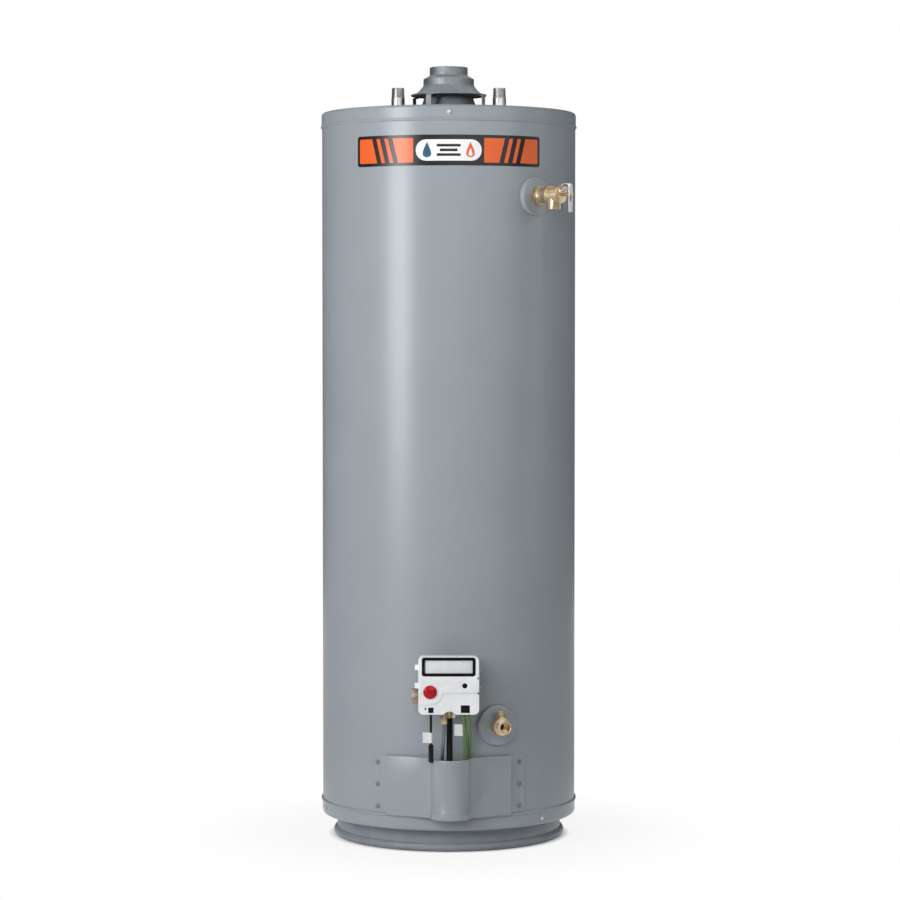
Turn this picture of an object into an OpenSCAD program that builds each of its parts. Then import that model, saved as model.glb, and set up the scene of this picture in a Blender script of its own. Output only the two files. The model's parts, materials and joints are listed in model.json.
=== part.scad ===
// Tall gas-fired tank water heater: a flued steel tank in foam and a painted jacket, with its
// draft hood, pipe nipples, relief valve, drain valve, gas control, burner and access doors.
// Millimetres. +Z is up and the front faces -Y. The origin is the foot ring's centre on the floor.

/* [Jacket and pans] */
// Outside diameter of the jacket
jacket_d = 508; // [498:1:530]
// Height of the top pan above the floor
jacket_top = 1448; // [1430:1:1480]
// Thickness of the painted sheet
sheet_t = 0.8; // [0.6:0.1:1.1]
// Gap where one sheet laps over another
lap_gap = 0.1; // [0.05:0.05:0.2]
// Distance from the top pan's bead to its rim
top_band_h = 28; // [24:1:34]
// Distance from the bottom pan's floor to its bead
bottom_band_h = 28; // [24:1:30]
// How far the jacket reaches into each pan
lap_h = 18; // [12:1:20]
// How far the top bead stands proud of the jacket
top_bead_proud = 2.6; // [1.5:0.1:4]
// How far the bottom bead stands proud of the jacket
bottom_bead_proud = 3.4; // [2:0.1:4]
// Radius of the pans' rolled beads
bead_r = 3; // [2:0.1:3.4]
// Radius of the bend between a pan's band and its flat
pan_bend_r = 6; // [3:0.5:9]
// Width of the lock seam down the back of the jacket
seam_w = 12; // [8:1:18]
// Height of the opening in the bottom of the jacket behind the outer door
access_h = 98; // [90:1:104]
// Width of that opening
access_w = 190; // [170:1:200]

/* [Base ring] */
// Height of the base ring, from the floor to the bottom pan
base_h = 44; // [38:1:52]
// Outside diameter of the base ring's wall
base_ring_d = 450; // [420:1:456]
// Radius of the rolled foot
foot_roll_r = 8; // [6:0.5:10]
// How far the foot stands proud of the ring's wall
foot_proud = 7; // [5:0.5:7]
// Sheet thickness of the base ring
base_t = 1.5; // [1.2:0.1:2]
// Width of the flat that rests on the floor
foot_flat_w = 12; // [8:1:16]
// Diameter of the air opening in the bottom pan
air_hole_d = 200; // [180:1:220]

/* [Tank] */
// Thickness of the foam between tank and jacket
foam_t = 28; // [26:1:32]
// Wall of the tank shell and its heads
tank_t = 3; // [2.5:0.1:4]
// Distance from the top head's rim up to the top pan
top_space = 68; // [64:1:74]
// Rise of the domed heads
dome_h = 40; // [34:1:42]
// Height of the bottom head's rim above the floor
bottom_head_z = 214; // [208:1:220]
// Depth of the heads' weld flanges
flange_h = 16; // [10:1:20]
// Outside diameter of the flue tube
flue_d = 95; // [88:1:98]
// Wall of the flue tube
flue_t = 3; // [2.5:0.1:4]
// Width of the twisted flue baffle
baffle_w = 78; // [60:1:80]
// Outside diameter of the welded pipe spuds
spud_d = 38; // [34:1:40]
// Diameter of the magnesium anode rod
anode_d = 21; // [17:1:23]
// Length of the anode rod
anode_len = 1000; // [700:10:1050]
// Distance of the anode behind the centre
anode_y = 130; // [120:1:150]

/* [Pipe nipples] */
// Distance between the cold and hot nipples
nipple_spacing = 203.2; // [195:0.2:215]
// Outside diameter of the plain part of a nipple
nipple_d = 26.7; // [26:0.1:27.4]
// Outside diameter over the pipe thread
nipple_thread_d = 26; // [25.6:0.1:26.2]
// Bore of a nipple
nipple_bore = 20.9; // [19:0.1:22]
// Height of the nipples above the top pan
nipple_h = 51.5; // [48:0.5:60]
// Length of the pipe thread at the top
nipple_thread_h = 20; // [14:1:24]
// Outside diameter of the dip tube
dip_tube_d = 18; // [15:0.5:18]
// Distance from the dip tube's end to the floor
dip_tube_end_z = 330; // [290:5:500]

/* [Draft hood] */
// Outside diameter of the vent collar
vent_d = 76.2; // [70:0.1:80]
// Length of the vent collar
vent_h = 16.5; // [12:0.5:22]
// Diameter of the lower step, which takes the next pipe size
vent_step_d = 101.6; // [96:0.1:106]
// Height of the lower step
vent_step_h = 13; // [10:0.5:18]
// Rise of the cone between the two steps
hood_cone_h = 7; // [5:0.5:12]
// Diameter of the skirt's rim
hood_d = 152; // [144:1:160]
// Height of the flared skirt
hood_skirt_h = 21; // [18:0.5:26]
// Height of the open gap under the skirt
hood_gap = 35; // [32:1:46]
// Distance of the legs from the centre
hood_leg_r = 80.5; // [80.5:0.5:84]
// Width of a leg
hood_leg_w = 12; // [9:0.5:16]
// Thickness of a leg
hood_leg_t = 1.5; // [1:0.1:2]

/* [Relief valve] */
// Angle of the relief valve, round from the front towards +X
tp_angle = 41.5; // [36:0.5:50]
// Height of the relief valve's axis
tp_z = 1275; // [1230:1:1290]
// Diameter of the valve's barrel
tp_barrel_d = 33; // [31:0.5:34]
// Diameter of the discharge outlet
tp_outlet_d = 31; // [30:0.5:33]
// Bore of the discharge outlet
tp_outlet_bore = 24.4; // [23.5:0.1:25.5]
// Distance from the valve's axis down to the outlet's face
tp_outlet_drop = 27; // [25:0.5:32]
// Length of the lever's hanging strap below the axis
tp_lever_drop = 34; // [30:1:42]
// Width of the lever
tp_lever_w = 10; // [9:0.5:10.5]

/* [Drain valve] */
// Angle of the drain valve, round from the front towards +X
drain_angle = 21.5; // [19:0.5:28]
// Height of the drain valve's axis
drain_z = 249; // [246:1:254]
// Outside diameter of the hose thread
hose_d = 26.5; // [25.5:0.1:27.5]
// Bore of the hose outlet
hose_bore = 15; // [13:0.5:17]
// Diameter of the stem's knob
drain_knob_d = 13; // [11:0.5:15]

/* [Escutcheons] */
// Diameter of the relief valve's escutcheon
tp_escutcheon_d = 77; // [70:1:84]
// Diameter of the drain valve's escutcheon
drain_escutcheon_d = 80; // [70:1:84]
// How far an escutcheon stands out from the jacket
escutcheon_h = 9; // [7.5:0.5:9.5]

/* [Gas control] */
// Height of the gas control's centre
control_z = 340; // [336:1:350]
// Width of the control's cover
cover_w = 116; // [114:1:124]
// Height of the control's cover
cover_h = 111.3; // [110.5:0.1:116]
// Distance from the jacket to the cover's front face
cover_front = 85; // [82:1:92]
// Depth of the cover, front to back
cover_depth = 28; // [22:1:34]
// Wall of the cover
cover_t = 2.5; // [2:0.1:3]
// Corner radius of the cover
cover_r = 10; // [7:0.5:13]
// Gap along the parting line between the two covers
parting_gap = 0.5; // [0.3:0.1:0.8]
// Width of the dark bezel
bezel_w = 102.4; // [98:0.2:104]
// Height of the dark bezel
bezel_h = 36.1; // [33:0.1:36.5]
// Width of the bezel's bars
bezel_bar = 5.6; // [4.5:0.1:6]
// Diameter of the igniter button
button_d = 25.6; // [22:0.2:26]
// Travel of the igniter button
button_travel = 4; // [2:0.5:5]
// Diameter of the status lens
lens_d = 9.8; // [7:0.2:12]
// Diameter of the gas inlet's threaded hole
gas_inlet_bore = 18; // [17:0.1:18.6]

/* [Doors and burner] */
// Half the width of the outer door's box
door_box_x = 122; // [118:1:126]
// How far each flange reaches past the box
door_flange_w = 26; // [22:1:28]
// Height of the outer door
door_h = 116; // [112:1:120]
// Sheet thickness of the outer door
door_t = 1.2; // [0.8:0.1:1.6]
// Radius of the half-round bulge over the tubes
door_bulge_r = 38; // [36:0.5:40]
// Sideways place of the bulge's centre
door_bulge_x = 3.5; // [0:0.5:5]
// Height of the raised hems at the bulge's two ends
door_hem_h = 13; // [9:1:18]
// Diameter of the burner head
burner_d = 190; // [150:1:200]
// Diameter of the burner's gas tube
burner_tube_d = 12; // [10:0.5:12.7]
// Diameter of the pilot tube
pilot_tube_d = 6.4; // [5:0.1:6.4]

/* [Hidden] */
$fn = 72;

// Clearances: parts that only touch, and parts that turn or slide
fit_gap = 0.1;
run_gap = 0.08;

jacket_r = jacket_d / 2;
jacket_in = jacket_r - sheet_t;
band_in = jacket_r + lap_gap;
band_out = band_in + sheet_t;
top_bead_z = jacket_top - top_band_h;
bottom_bead_z = base_h + bottom_band_h;
pan_floor = base_h + sheet_t;
under_top = jacket_top - sheet_t;

tank_r = jacket_in - foam_t;
tank_in = tank_r - tank_t;
flue_r = flue_d / 2;
flue_in = flue_r - flue_t;
head_r = tank_in - fit_gap;
dome_r = (head_r * head_r + dome_h * dome_h) / (2 * dome_h);
top_head_z = jacket_top - top_space;
spud_r = spud_d / 2;
spud_bore_r = nipple_d / 2 + fit_gap;
shank_r = nipple_d / 2;
spud_out_gap = 3;
access_edge = 12;

hood_rim_z = jacket_top + hood_gap;
hood_r = hood_d / 2;
hood_top_z = hood_rim_z + hood_skirt_h + vent_step_h + hood_cone_h + vent_h;
hood_leg_angles = [60, 150, 240, 330];
nipple_top_z = jacket_top + nipple_h;
spud_top_z = under_top - 5;
spud_len = 42;
nipple_foot_z = spud_top_z - 18;
flue_top_z = hood_rim_z - 3;

screw_r = 2;
screw_len = 9;
screw_head_r = 4.2;
screw_head_h = 2.4;
top_screw_angles = [0, 120, 240];
bottom_screw_angles = [45.5, 165.5, 285.5];
top_screw_z = jacket_top - top_band_h / 2 - 1;
bottom_screw_z = base_h + bottom_band_h / 2;

door_z = bottom_bead_z + 1;
door_flange_z = bottom_bead_z + bead_r + 1;
door_top_z = door_z + door_h;
door_screw_x = door_box_x + door_flange_w * 0.6;
door_screw_angle = asin(door_screw_x / jacket_r);
door_screw_zs = [for (i = [-1, 0, 1]) door_z + door_h / 2 + i * (door_h * 0.372)];
access_z = door_z + (door_h - access_h) / 2;

// ---------- shapes that repeat ----------

// Places its children on the jacket: their x runs sideways, their y up and their z outwards
module on_jacket(angle, z) {
    rotate([0, 0, angle]) translate([0, -jacket_r, z]) rotate([90, 0, 0]) children();
}

// A round bar from a to b along z, along y or along x
module bar(a, b, r) {
    translate([0, 0, a]) cylinder(h = b - a, r = r);
}

module bar_y(a, b, r) {
    translate([0, a, 0]) rotate([-90, 0, 0]) cylinder(h = b - a, r = r);
}

module bar_x(a, b, r) {
    translate([a, 0, 0]) rotate([0, 90, 0]) cylinder(h = b - a, r = r);
}

// Two of its children, one at each pipe nipple
module at_nipples() {
    for (x = [-1, 1]) translate([x * nipple_spacing / 2, 0, 0]) children();
}

// A hexagon bar of the stated width across its flats
module hex_bar(a, b, flats) {
    translate([0, 0, a]) cylinder(h = b - a, r = flats / sqrt(3), $fn = 6);
}

module rounded_rect(w, h, r) {
    square([w - 2 * r, h], center = true);
    square([w, h - 2 * r], center = true);
    for (x = [-1, 1], y = [-1, 1])
        translate([x * (w / 2 - r), y * (h / 2 - r)]) circle(r, $fn = 48);
}

function arc(c, r, a0, a1, n) =
    [for (i = [0:n]) let (a = a0 + (a1 - a0) * i / n) c + r * [cos(a), sin(a)]];
function side_of(a, b) = [a[1] - b[1], b[0] - a[0]] / norm(b - a);
function shifted(p, i, t) =
    let (last = len(p) - 1,
         n0 = side_of(p[max(i, 1) - 1], p[max(i, 1)]),
         n1 = side_of(p[min(i, last - 1)], p[min(i, last - 1) + 1]))
    p[i] + t * (n0 + n1) / (1 + n0 * n1);

// Outline of a sheet of thickness t, laid on the left of the path
function sheet(path, t) = concat(path, [for (i = [len(path) - 1:-1:0]) shifted(path, i, t)]);

// A round tube swept along route points, joined by a smooth curve
function bezier_mid(a, b, c, d, s) =
    0.5 * (2 * b + (c - a) * s + (2 * a - 5 * b + 4 * c - d) * s * s + (3 * b - a - 3 * c + d) * s * s * s);
function smooth(p, n) = concat([for (i = [0:len(p) - 2], k = [0:n - 1])
    bezier_mid(i > 0 ? p[i - 1] : 2 * p[0] - p[1], p[i], p[i + 1],
               i < len(p) - 2 ? p[i + 2] : 2 * p[i + 1] - p[i], k / n)], [p[len(p) - 1]]);
function heading(p, i) = let (d = p[min(i + 1, len(p) - 1)] - p[max(i - 1, 0)]) d / norm(d);

module tube(route, d, sides = 8, steps = 2, across = [1, 0, 0]) {
    p = smooth(route, steps);
    n = len(p);
    rings = [for (i = [0:n - 1])
        let (w = heading(p, i), u = cross(w, across) / norm(cross(w, across)), v = cross(w, u))
        for (k = [0:sides - 1]) p[i] + d / 2 * (cos(360 * k / sides) * u + sin(360 * k / sides) * v)];
    walls = [for (i = [0:n - 2], k = [0:sides - 1]) let (j = (k + 1) % sides)
        [i * sides + k, i * sides + j, (i + 1) * sides + j, (i + 1) * sides + k]];
    ends = [[for (k = [sides - 1:-1:0]) k], [for (k = [0:sides - 1]) (n - 1) * sides + k]];
    polyhedron(points = rings, faces = concat(walls, ends), convexity = 6);
}

// A coil spring along the children's z, from a to b
module coil(a, b, r, wire, turns, steps = 14) {
    tube([for (i = [0:turns * steps]) [r * cos(360 * i / steps), r * sin(360 * i / steps),
        a + wire / 2 + (b - a - wire) * i / (turns * steps)]], wire, 6, 1, [0, 0, 1]);
}

// ---------- jacket and pans ----------

module screw_holes(angles, z, r) {
    for (a = angles) on_jacket(a, z) bar(-screw_len - 2, 3, r);
}

module valve_holes(r) {
    on_jacket(tp_angle, tp_z) bar(-foam_t - 2 * tank_t - 4, 3, r);
    on_jacket(drain_angle, drain_z) bar(-foam_t - 2 * tank_t - 4, 3, r);
    on_jacket(0, control_z) bar(-foam_t - 2 * tank_t - 4, 3, r);
}

module bead(z, proud) {
    difference() {
        translate([jacket_r + proud - bead_r, z]) circle(bead_r, $fn = 32);
        translate([0, z - 2 * bead_r]) square([band_in, 4 * bead_r]);
    }
}

module jacket() {
    z0 = bottom_bead_z - lap_h;
    color("#969b9e") difference() {
        union() {
            rotate_extrude() translate([jacket_in, z0]) square([sheet_t, top_bead_z + lap_h - z0]);
            translate([-seam_w / 2, jacket_r - sheet_t / 2, bottom_bead_z + bead_r + 1])
                cube([seam_w, sheet_t * 2, top_bead_z - bottom_bead_z - 2 * bead_r - 2]);
        }
        valve_holes(spud_r + 2);
        screw_holes(top_screw_angles, top_screw_z, screw_r + fit_gap);
        screw_holes(bottom_screw_angles, bottom_screw_z, screw_r + fit_gap);
        for (z = door_screw_zs) screw_holes([-door_screw_angle, door_screw_angle], z, screw_r + fit_gap);
        translate([-access_w / 2, -jacket_r - 5, access_z]) cube([access_w, jacket_r, access_h]);
    }
}

module top_pan() {
    color("#9da2a5") difference() {
        rotate_extrude() {
            polygon(sheet(concat([[band_out, top_bead_z]],
                arc([band_out - pan_bend_r, jacket_top - pan_bend_r], pan_bend_r, 0, 90, 8),
                [[flue_r + 4, jacket_top]]), sheet_t));
            bead(top_bead_z, top_bead_proud);
        }
        at_nipples() bar(under_top - 4, under_top + 5, shank_r + 2);
        translate([0, anode_y, under_top - 4]) cylinder(h = 9, r = spud_r);
        screw_holes(top_screw_angles, top_screw_z, screw_r + fit_gap);
    }
}

module bottom_pan() {
    color("#9da2a5") difference() {
        rotate_extrude() {
            polygon(sheet(concat([[air_hole_d / 2, base_h]],
                arc([band_out - pan_bend_r, base_h + pan_bend_r], pan_bend_r, -90, 0, 8),
                [[band_out, bottom_bead_z]]), sheet_t));
            bead(bottom_bead_z, bottom_bead_proud);
        }
        screw_holes(bottom_screw_angles, bottom_screw_z, screw_r + fit_gap);
    }
}

module base_ring() {
    wall_r = base_ring_d / 2;
    roll_x = wall_r + foot_proud - foot_roll_r;
    top_angle = acos((wall_r - roll_x) / foot_roll_r);
    slots = 3;
    slot_w = 60;
    color("#7d8285") difference() {
        rotate_extrude() polygon(sheet(concat([[roll_x - foot_flat_w, 0]],
            arc([roll_x, foot_roll_r], foot_roll_r, -90, top_angle, 10),
            [[wall_r, base_h], [wall_r - 20, base_h]]), base_t));
        for (i = [1:slots]) rotate(i * 180 / (slots + 1)) translate([wall_r - 12, -slot_w / 2, base_h - 18])
            cube([24, slot_w, 10]);
    }
}

// Cuts the foam's top edge back from the bend of the top pan
module foam_chamfer(outer, top, cut) {
    rotate_extrude()
        polygon([[outer - cut - 1, top + 1], [outer + 1, top + 1], [outer + 1, top - cut - 1]]);
}

module insulation() {
    outer = jacket_in - 0.4;
    z0 = bottom_head_z + 2;
    top = under_top - 0.4;
    color("#e5d9a8") difference() {
        rotate_extrude() {
            translate([tank_r + 0.3, z0]) square([outer - tank_r - 0.3, top - z0]);
            difference() {
                translate([flue_r + 5, top_head_z + 0.5])
                    square([outer - flue_r - 5, top - top_head_z - 0.5]);
                translate([0, top_head_z + dome_h - dome_r]) circle(dome_r + 0.5, $fn = 180);
            }
        }
        foam_chamfer(outer, top, pan_bend_r / 3);
        valve_holes(spud_r + 0.5);
        screw_holes(top_screw_angles, top_screw_z, screw_r + 1);
        at_nipples() bar(top_head_z, jacket_top + 5, spud_r + 0.5);
        translate([0, anode_y, top_head_z]) cylinder(h = top_space + 5, r = spud_r + 0.5);
    }
}

module front_label() {
    label_z = 1331;
    label_h = 59;
    label_half_angle = 44;
    label_t = 0.3;
    color("#fa733c") rotate([0, 0, -90 - label_half_angle])
        rotate_extrude(angle = 2 * label_half_angle)
            translate([jacket_r + 0.05, label_z]) square([label_t, label_h]);
}

module screw(angle, z, seat) {
    color("#c9ccce") on_jacket(angle, z) translate([0, 0, seat]) {
        bar(-screw_len, 0.1, screw_r);
        difference() {
            bar(0, screw_head_h, screw_head_r);
            translate([-0.5, -screw_head_r, screw_head_h - 0.8]) cube([1, 2 * screw_head_r, 1]);
        }
    }
}

module pan_screws() {
    for (a = top_screw_angles) screw(a, top_screw_z, band_out - jacket_r);
    for (a = bottom_screw_angles) screw(a, bottom_screw_z, band_out - jacket_r);
}

module pipe_grommets() {
    color("#2c2d2e") for (x = [-1, 1]) translate([x * nipple_spacing / 2, 0, 0]) rotate_extrude()
        translate([shank_r + fit_gap, jacket_top]) difference() {
            square([9, 4]);
            translate([9, 4]) rotate(45) square(3, center = true);
        }
}

// ---------- tank ----------

module tank_shell() {
    color("#8a6f5c") difference() {
        rotate_extrude() translate([tank_in, pan_floor]) square([tank_t, top_head_z - pan_floor]);
        valve_holes(spud_r + fit_gap);
        translate([-access_w / 2 + access_edge, -tank_r - 5, access_z + access_edge])
            cube([access_w - 2 * access_edge, tank_r, access_h - 2 * access_edge]);
    }
}

// A domed head with a flue hole, its weld flange hanging below the rim
module head(z) {
    rotate_extrude() {
        intersection() {
            translate([0, z + dome_h - dome_r]) difference() {
                circle(dome_r, $fn = 180);
                circle(dome_r - tank_t, $fn = 180);
            }
            translate([flue_r + fit_gap, z - 0.01]) square([head_r - flue_r - fit_gap, dome_h + 5]);
        }
        translate([head_r - tank_t, z - flange_h]) square([tank_t, flange_h + 0.5]);
    }
}

module tank_top_head() {
    color("#8a6f5c") difference() {
        head(top_head_z);
        at_nipples() bar(top_head_z, top_head_z + dome_h + 5, spud_r + fit_gap);
        translate([0, anode_y, top_head_z]) cylinder(h = dome_h + 5, r = spud_r + fit_gap);
    }
}

module tank_bottom_head() {
    color("#8a6f5c") head(bottom_head_z);
}

module spud_ring() {
    difference() {
        cylinder(h = spud_len, r = spud_r);
        translate([0, 0, -1]) cylinder(h = spud_len + 2, r = spud_bore_r);
    }
}

module tank_spuds() {
    color("#77604f") {
        for (x = [-1, 1]) translate([x * nipple_spacing / 2, 0, spud_top_z - spud_len]) spud_ring();
        translate([0, anode_y, spud_top_z - spud_len]) spud_ring();
        for (p = [[tp_angle, tp_z], [drain_angle, drain_z], [0, control_z]]) on_jacket(p[0], p[1])
            translate([0, 0, -sheet_t - spud_out_gap - (foam_t + tank_t - spud_out_gap + 3)]) difference() {
                cylinder(h = foam_t + tank_t - spud_out_gap + 3, r = spud_r);
                translate([0, 0, -1]) cylinder(h = 60, r = spud_bore_r);
            }
    }
}

module flue_tube() {
    z0 = bottom_head_z + dome_h - 16;
    color("#6d6a66") translate([0, 0, z0]) difference() {
        cylinder(h = flue_top_z - z0, r = flue_r);
        translate([0, 0, -1]) cylinder(h = flue_top_z - z0 + 2, r = flue_in);
    }
}

module flue_baffle() {
    strip_t = 2;
    strip_h = 1080;
    tab = 5;
    color("#55534f") {
        translate([0, 0, flue_top_z - strip_h + 1])
            linear_extrude(height = strip_h, twist = -1980, slices = 88)
            square([baffle_w, strip_t], center = true);
        translate([-flue_r + 1, -strip_t, flue_top_z]) cube([2 * flue_r - 2, 2 * strip_t, tab - 3]);
    }
}

collar_w = 15;
collar_h = 32;
collar_t = 1;

module flue_collar() {
    color("#8f9497") rotate_extrude()
        polygon(sheet([[flue_r + collar_w, jacket_top + fit_gap + collar_t / 2],
            [flue_r + 0.87 * collar_w, jacket_top + collar_h / 8],
            [flue_r + 0.37 * collar_w, jacket_top + 0.63 * collar_h],
            [flue_r + 0.1 * collar_w, jacket_top + collar_h]], collar_t));
}

module nipple() {
    color("#a9a7a1") difference() {
        union() {
            bar(nipple_foot_z, nipple_top_z - nipple_thread_h, nipple_d / 2);
            bar(nipple_foot_z, nipple_top_z, nipple_thread_d / 2);
        }
        bar(nipple_foot_z - 1, nipple_top_z + 1, nipple_bore / 2);
    }
}

module cold_water_nipple() {
    translate([nipple_spacing / 2, 0, 0]) nipple();
}

module hot_water_nipple() {
    translate([-nipple_spacing / 2, 0, 0]) nipple();
}

module dip_tube() {
    lip_h = 4;
    wall = 1.6;
    top = nipple_top_z - 14;
    color("#e9e7df") translate([nipple_spacing / 2, 0, 0]) difference() {
        union() {
            bar(dip_tube_end_z, top, dip_tube_d / 2);
            bar(top - lip_h, top, nipple_bore / 2 - fit_gap);
        }
        bar(dip_tube_end_z - 1, top + 1, dip_tube_d / 2 - wall);
    }
}

module anode_rod() {
    plug_h = 24;
    color("#b9bab8") translate([0, anode_y, 0]) {
        bar(spud_top_z - plug_h - anode_len, spud_top_z - plug_h + 1, anode_d / 2);
        bar(spud_top_z - plug_h, spud_top_z + 1, shank_r);
        hex_bar(spud_top_z + 0.05, spud_top_z + 14, 27);
    }
}

// ---------- draft hood ----------

module draft_hood() {
    z1 = hood_rim_z + hood_skirt_h;
    z2 = z1 + vent_step_h;
    z3 = z2 + hood_cone_h;
    step_r = vent_step_d / 2;
    vent_r = vent_d / 2;
    flare = [for (i = [0:8]) let (s = i / 8)
        [hood_r + (step_r - hood_r) * s, hood_rim_z + 2 + (hood_skirt_h - 2) * s * s]];
    color("#8f9497") rotate_extrude() polygon(sheet(concat([[hood_r, hood_rim_z]], flare,
        [[step_r, z2], [vent_r, z3], [vent_r, hood_top_z]]), sheet_t));
}

module draft_hood_legs() {
    foot = 14;
    tab = 8;
    color("#85898c") for (a = hood_leg_angles) rotate([0, 0, a]) translate([0, -hood_leg_w / 2, 0]) {
        translate([hood_leg_r - hood_leg_t, 0, jacket_top]) cube([hood_leg_t, hood_leg_w, hood_gap]);
        translate([hood_leg_r - hood_leg_t, 0, jacket_top]) cube([foot, hood_leg_w, hood_leg_t]);
        translate([hood_leg_r - tab, 0, hood_rim_z - hood_leg_t]) cube([tab, hood_leg_w, hood_leg_t]);
    }
}

// ---------- relief valve ----------

tp_end = 72;
tp_outlet_at = 54;
tp_pin_at = 81;
tp_pin_y = 12;
tp_strap_at = 98.5;
tp_strap_t = 2;
tp_pin_r = 1.75;
tp_cavity_r = 12;
tp_stem_r = 2.5;
tp_disc_at = 34.6;
tp_outlet_depth = 14;

// A dished ring that covers a valve's hole and follows the jacket's curve
module escutcheon(d, hole_r) {
    difference() {
        rotate_extrude() polygon(sheet(concat([[d / 2, -4], [d / 2, escutcheon_h * 0.35]],
            arc([d / 2 - 4, escutcheon_h * 0.35], 4, 20, 80, 4),
            [[hole_r + 4, escutcheon_h], [hole_r, escutcheon_h]]), 1.2));
        translate([0, 0, -jacket_r]) bar_y(-100, 100, jacket_r + 0.05, $fn = 180);
    }
}

module tp_escutcheon() {
    color("#8c9194") on_jacket(tp_angle, tp_z) escutcheon(tp_escutcheon_d, shank_r + 1);
}

module tp_valve_body() {
    hex_at = escutcheon_h + 0.3;
    hex_len = 10;
    barrel_r = tp_barrel_d / 2;
    color("#c39a56") on_jacket(tp_angle, tp_z) difference() {
        union() {
            bar(-sheet_t - foam_t, hex_at + 1, shank_r);
            hex_bar(hex_at, hex_at + hex_len, tp_barrel_d + 2);
            bar(hex_at + hex_len, tp_end, barrel_r);
            bar(40, 45, barrel_r + 1.5);
            translate([0, 0, tp_outlet_at]) bar_y(-tp_outlet_drop, 0, tp_outlet_d / 2);
        }
        bar(-60, 30, 9);
        bar(29, 35, 7);
        bar(34, tp_end + 1, tp_cavity_r);
        translate([0, -tp_outlet_drop, tp_outlet_at]) {
            bar_y(-1, tp_outlet_depth, tp_outlet_bore / 2);
            bar_y(0, tp_outlet_drop, 9);
        }
    }
}

module tp_bonnet() {
    ear_in = tp_lever_w / 2 + 0.6;
    ear_t = 2.2;
    color("#b4b7b9") on_jacket(tp_angle, tp_z) difference() {
        union() {
            bar(64, tp_end + 0.5, tp_cavity_r - fit_gap);
            bar(tp_end + 0.05, tp_end + 2.4, tp_barrel_d / 2 - 1);
            for (x = [-ear_in - ear_t, ear_in]) translate([x, tp_pin_y - 6, tp_end + 2])
                cube([ear_t, 12, tp_pin_at - tp_end + 2]);
        }
        bar(60, tp_end + 4, tp_stem_r + run_gap);
        translate([0, tp_pin_y, tp_pin_at]) bar_x(-20, 20, tp_pin_r + 0.05);
    }
}

module tp_lever_pin() {
    half = tp_lever_w / 2 + 3.4;
    color("#9c9fa1") on_jacket(tp_angle, tp_z) translate([0, tp_pin_y, tp_pin_at])
        bar_x(-half, half, tp_pin_r);
}

module tp_lever() {
    half = tp_lever_w / 2;
    color("#ccd0d3") on_jacket(tp_angle, tp_z) difference() {
        rotate([0, -90, 0]) translate([0, 0, -half]) linear_extrude(height = tp_lever_w) {
            translate([tp_pin_at, tp_pin_y]) circle(5, $fn = 32);
            polygon(sheet(concat([[tp_strap_at + 1, -tp_lever_drop], [tp_strap_at + 1, 13]],
                arc([tp_strap_at - 6, 14.5], 7, 0, 90, 6), [[85, 21.5]],
                arc([83, 15.5], 6, 90, 190, 5)), tp_strap_t));
        }
        translate([0, tp_pin_y, tp_pin_at]) bar_x(-half - 1, half + 1, tp_pin_r + run_gap);
        translate([-tp_stem_r - 0.4, -14, tp_strap_at - 3]) cube([2 * tp_stem_r + 0.8, 17.5, 6]);
    }
}

module tp_stem() {
    head_at = tp_strap_at + 1.4;
    color("#b08a4a") on_jacket(tp_angle, tp_z) {
        bar(tp_disc_at + 1, head_at + 1, tp_stem_r);
        bar(tp_disc_at, tp_disc_at + 3.4, 9.6);
        bar(head_at, head_at + 2.6, 4.2);
    }
}

module tp_spring() {
    color("#8b8f92") on_jacket(tp_angle, tp_z) coil(tp_disc_at + 3.6, 63.8, 7.4, 1.8, 5);
}

module tp_probe() {
    color("#b87a4b") on_jacket(tp_angle, tp_z) {
        bar(-110, 4, 4.5);
        difference() {
            bar(0, 3.5, 8.95);
            for (a = [0:90:270]) rotate(a) translate([7.3, 0, -1]) cylinder(h = 6, r = 2.2, $fn = 24);
        }
    }
}

// ---------- drain valve ----------

drain_len = 45;
drain_stem_at = 20;
drain_piston_r = 6.5;
drain_stem_r = 4;
drain_bonnet_y = 23;
drain_boss_r = 8.9;

module drain_escutcheon() {
    color("#8c9194") on_jacket(drain_angle, drain_z) escutcheon(drain_escutcheon_d, shank_r + 1);
}

module drain_valve_body() {
    color("#b98d4c") on_jacket(drain_angle, drain_z) difference() {
        union() {
            bar(-sheet_t - foam_t, escutcheon_h + 1.3, shank_r);
            bar(escutcheon_h + 0.3, 29, 17);
            bar(28, drain_len, hose_d / 2);
            translate([0, 0, drain_stem_at]) bar_y(0, 19, drain_boss_r);
            translate([0, 0, drain_stem_at]) bar_y(18.5, drain_bonnet_y, 16 / sqrt(3), $fn = 6);
        }
        bar(-60, 27, 5);
        bar(26, drain_len + 1, hose_bore / 2);
        translate([0, 0, drain_stem_at]) {
            bar_y(-6.2, 12.2, drain_piston_r + run_gap);
            bar_y(10, 30, drain_stem_r + run_gap);
        }
    }
}

module drain_stem() {
    color("#a97f42") on_jacket(drain_angle, drain_z) difference() {
        union() {
            translate([0, 0, drain_stem_at]) bar_y(12.6, drain_bonnet_y + 1, drain_stem_r);
            translate([0, drain_bonnet_y + 0.4, drain_stem_at]) bar_y(0, 6, drain_knob_d / 2);
        }
        translate([-10, drain_bonnet_y + 4, drain_stem_at - 0.9]) cube([20, 6, 1.8]);
    }
}

module drain_plunger() {
    color("#3a3a3a") on_jacket(drain_angle, drain_z) translate([0, 0, drain_stem_at])
        bar_y(-5.9, 5.5, drain_piston_r);
}

// ---------- gas control ----------

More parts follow.
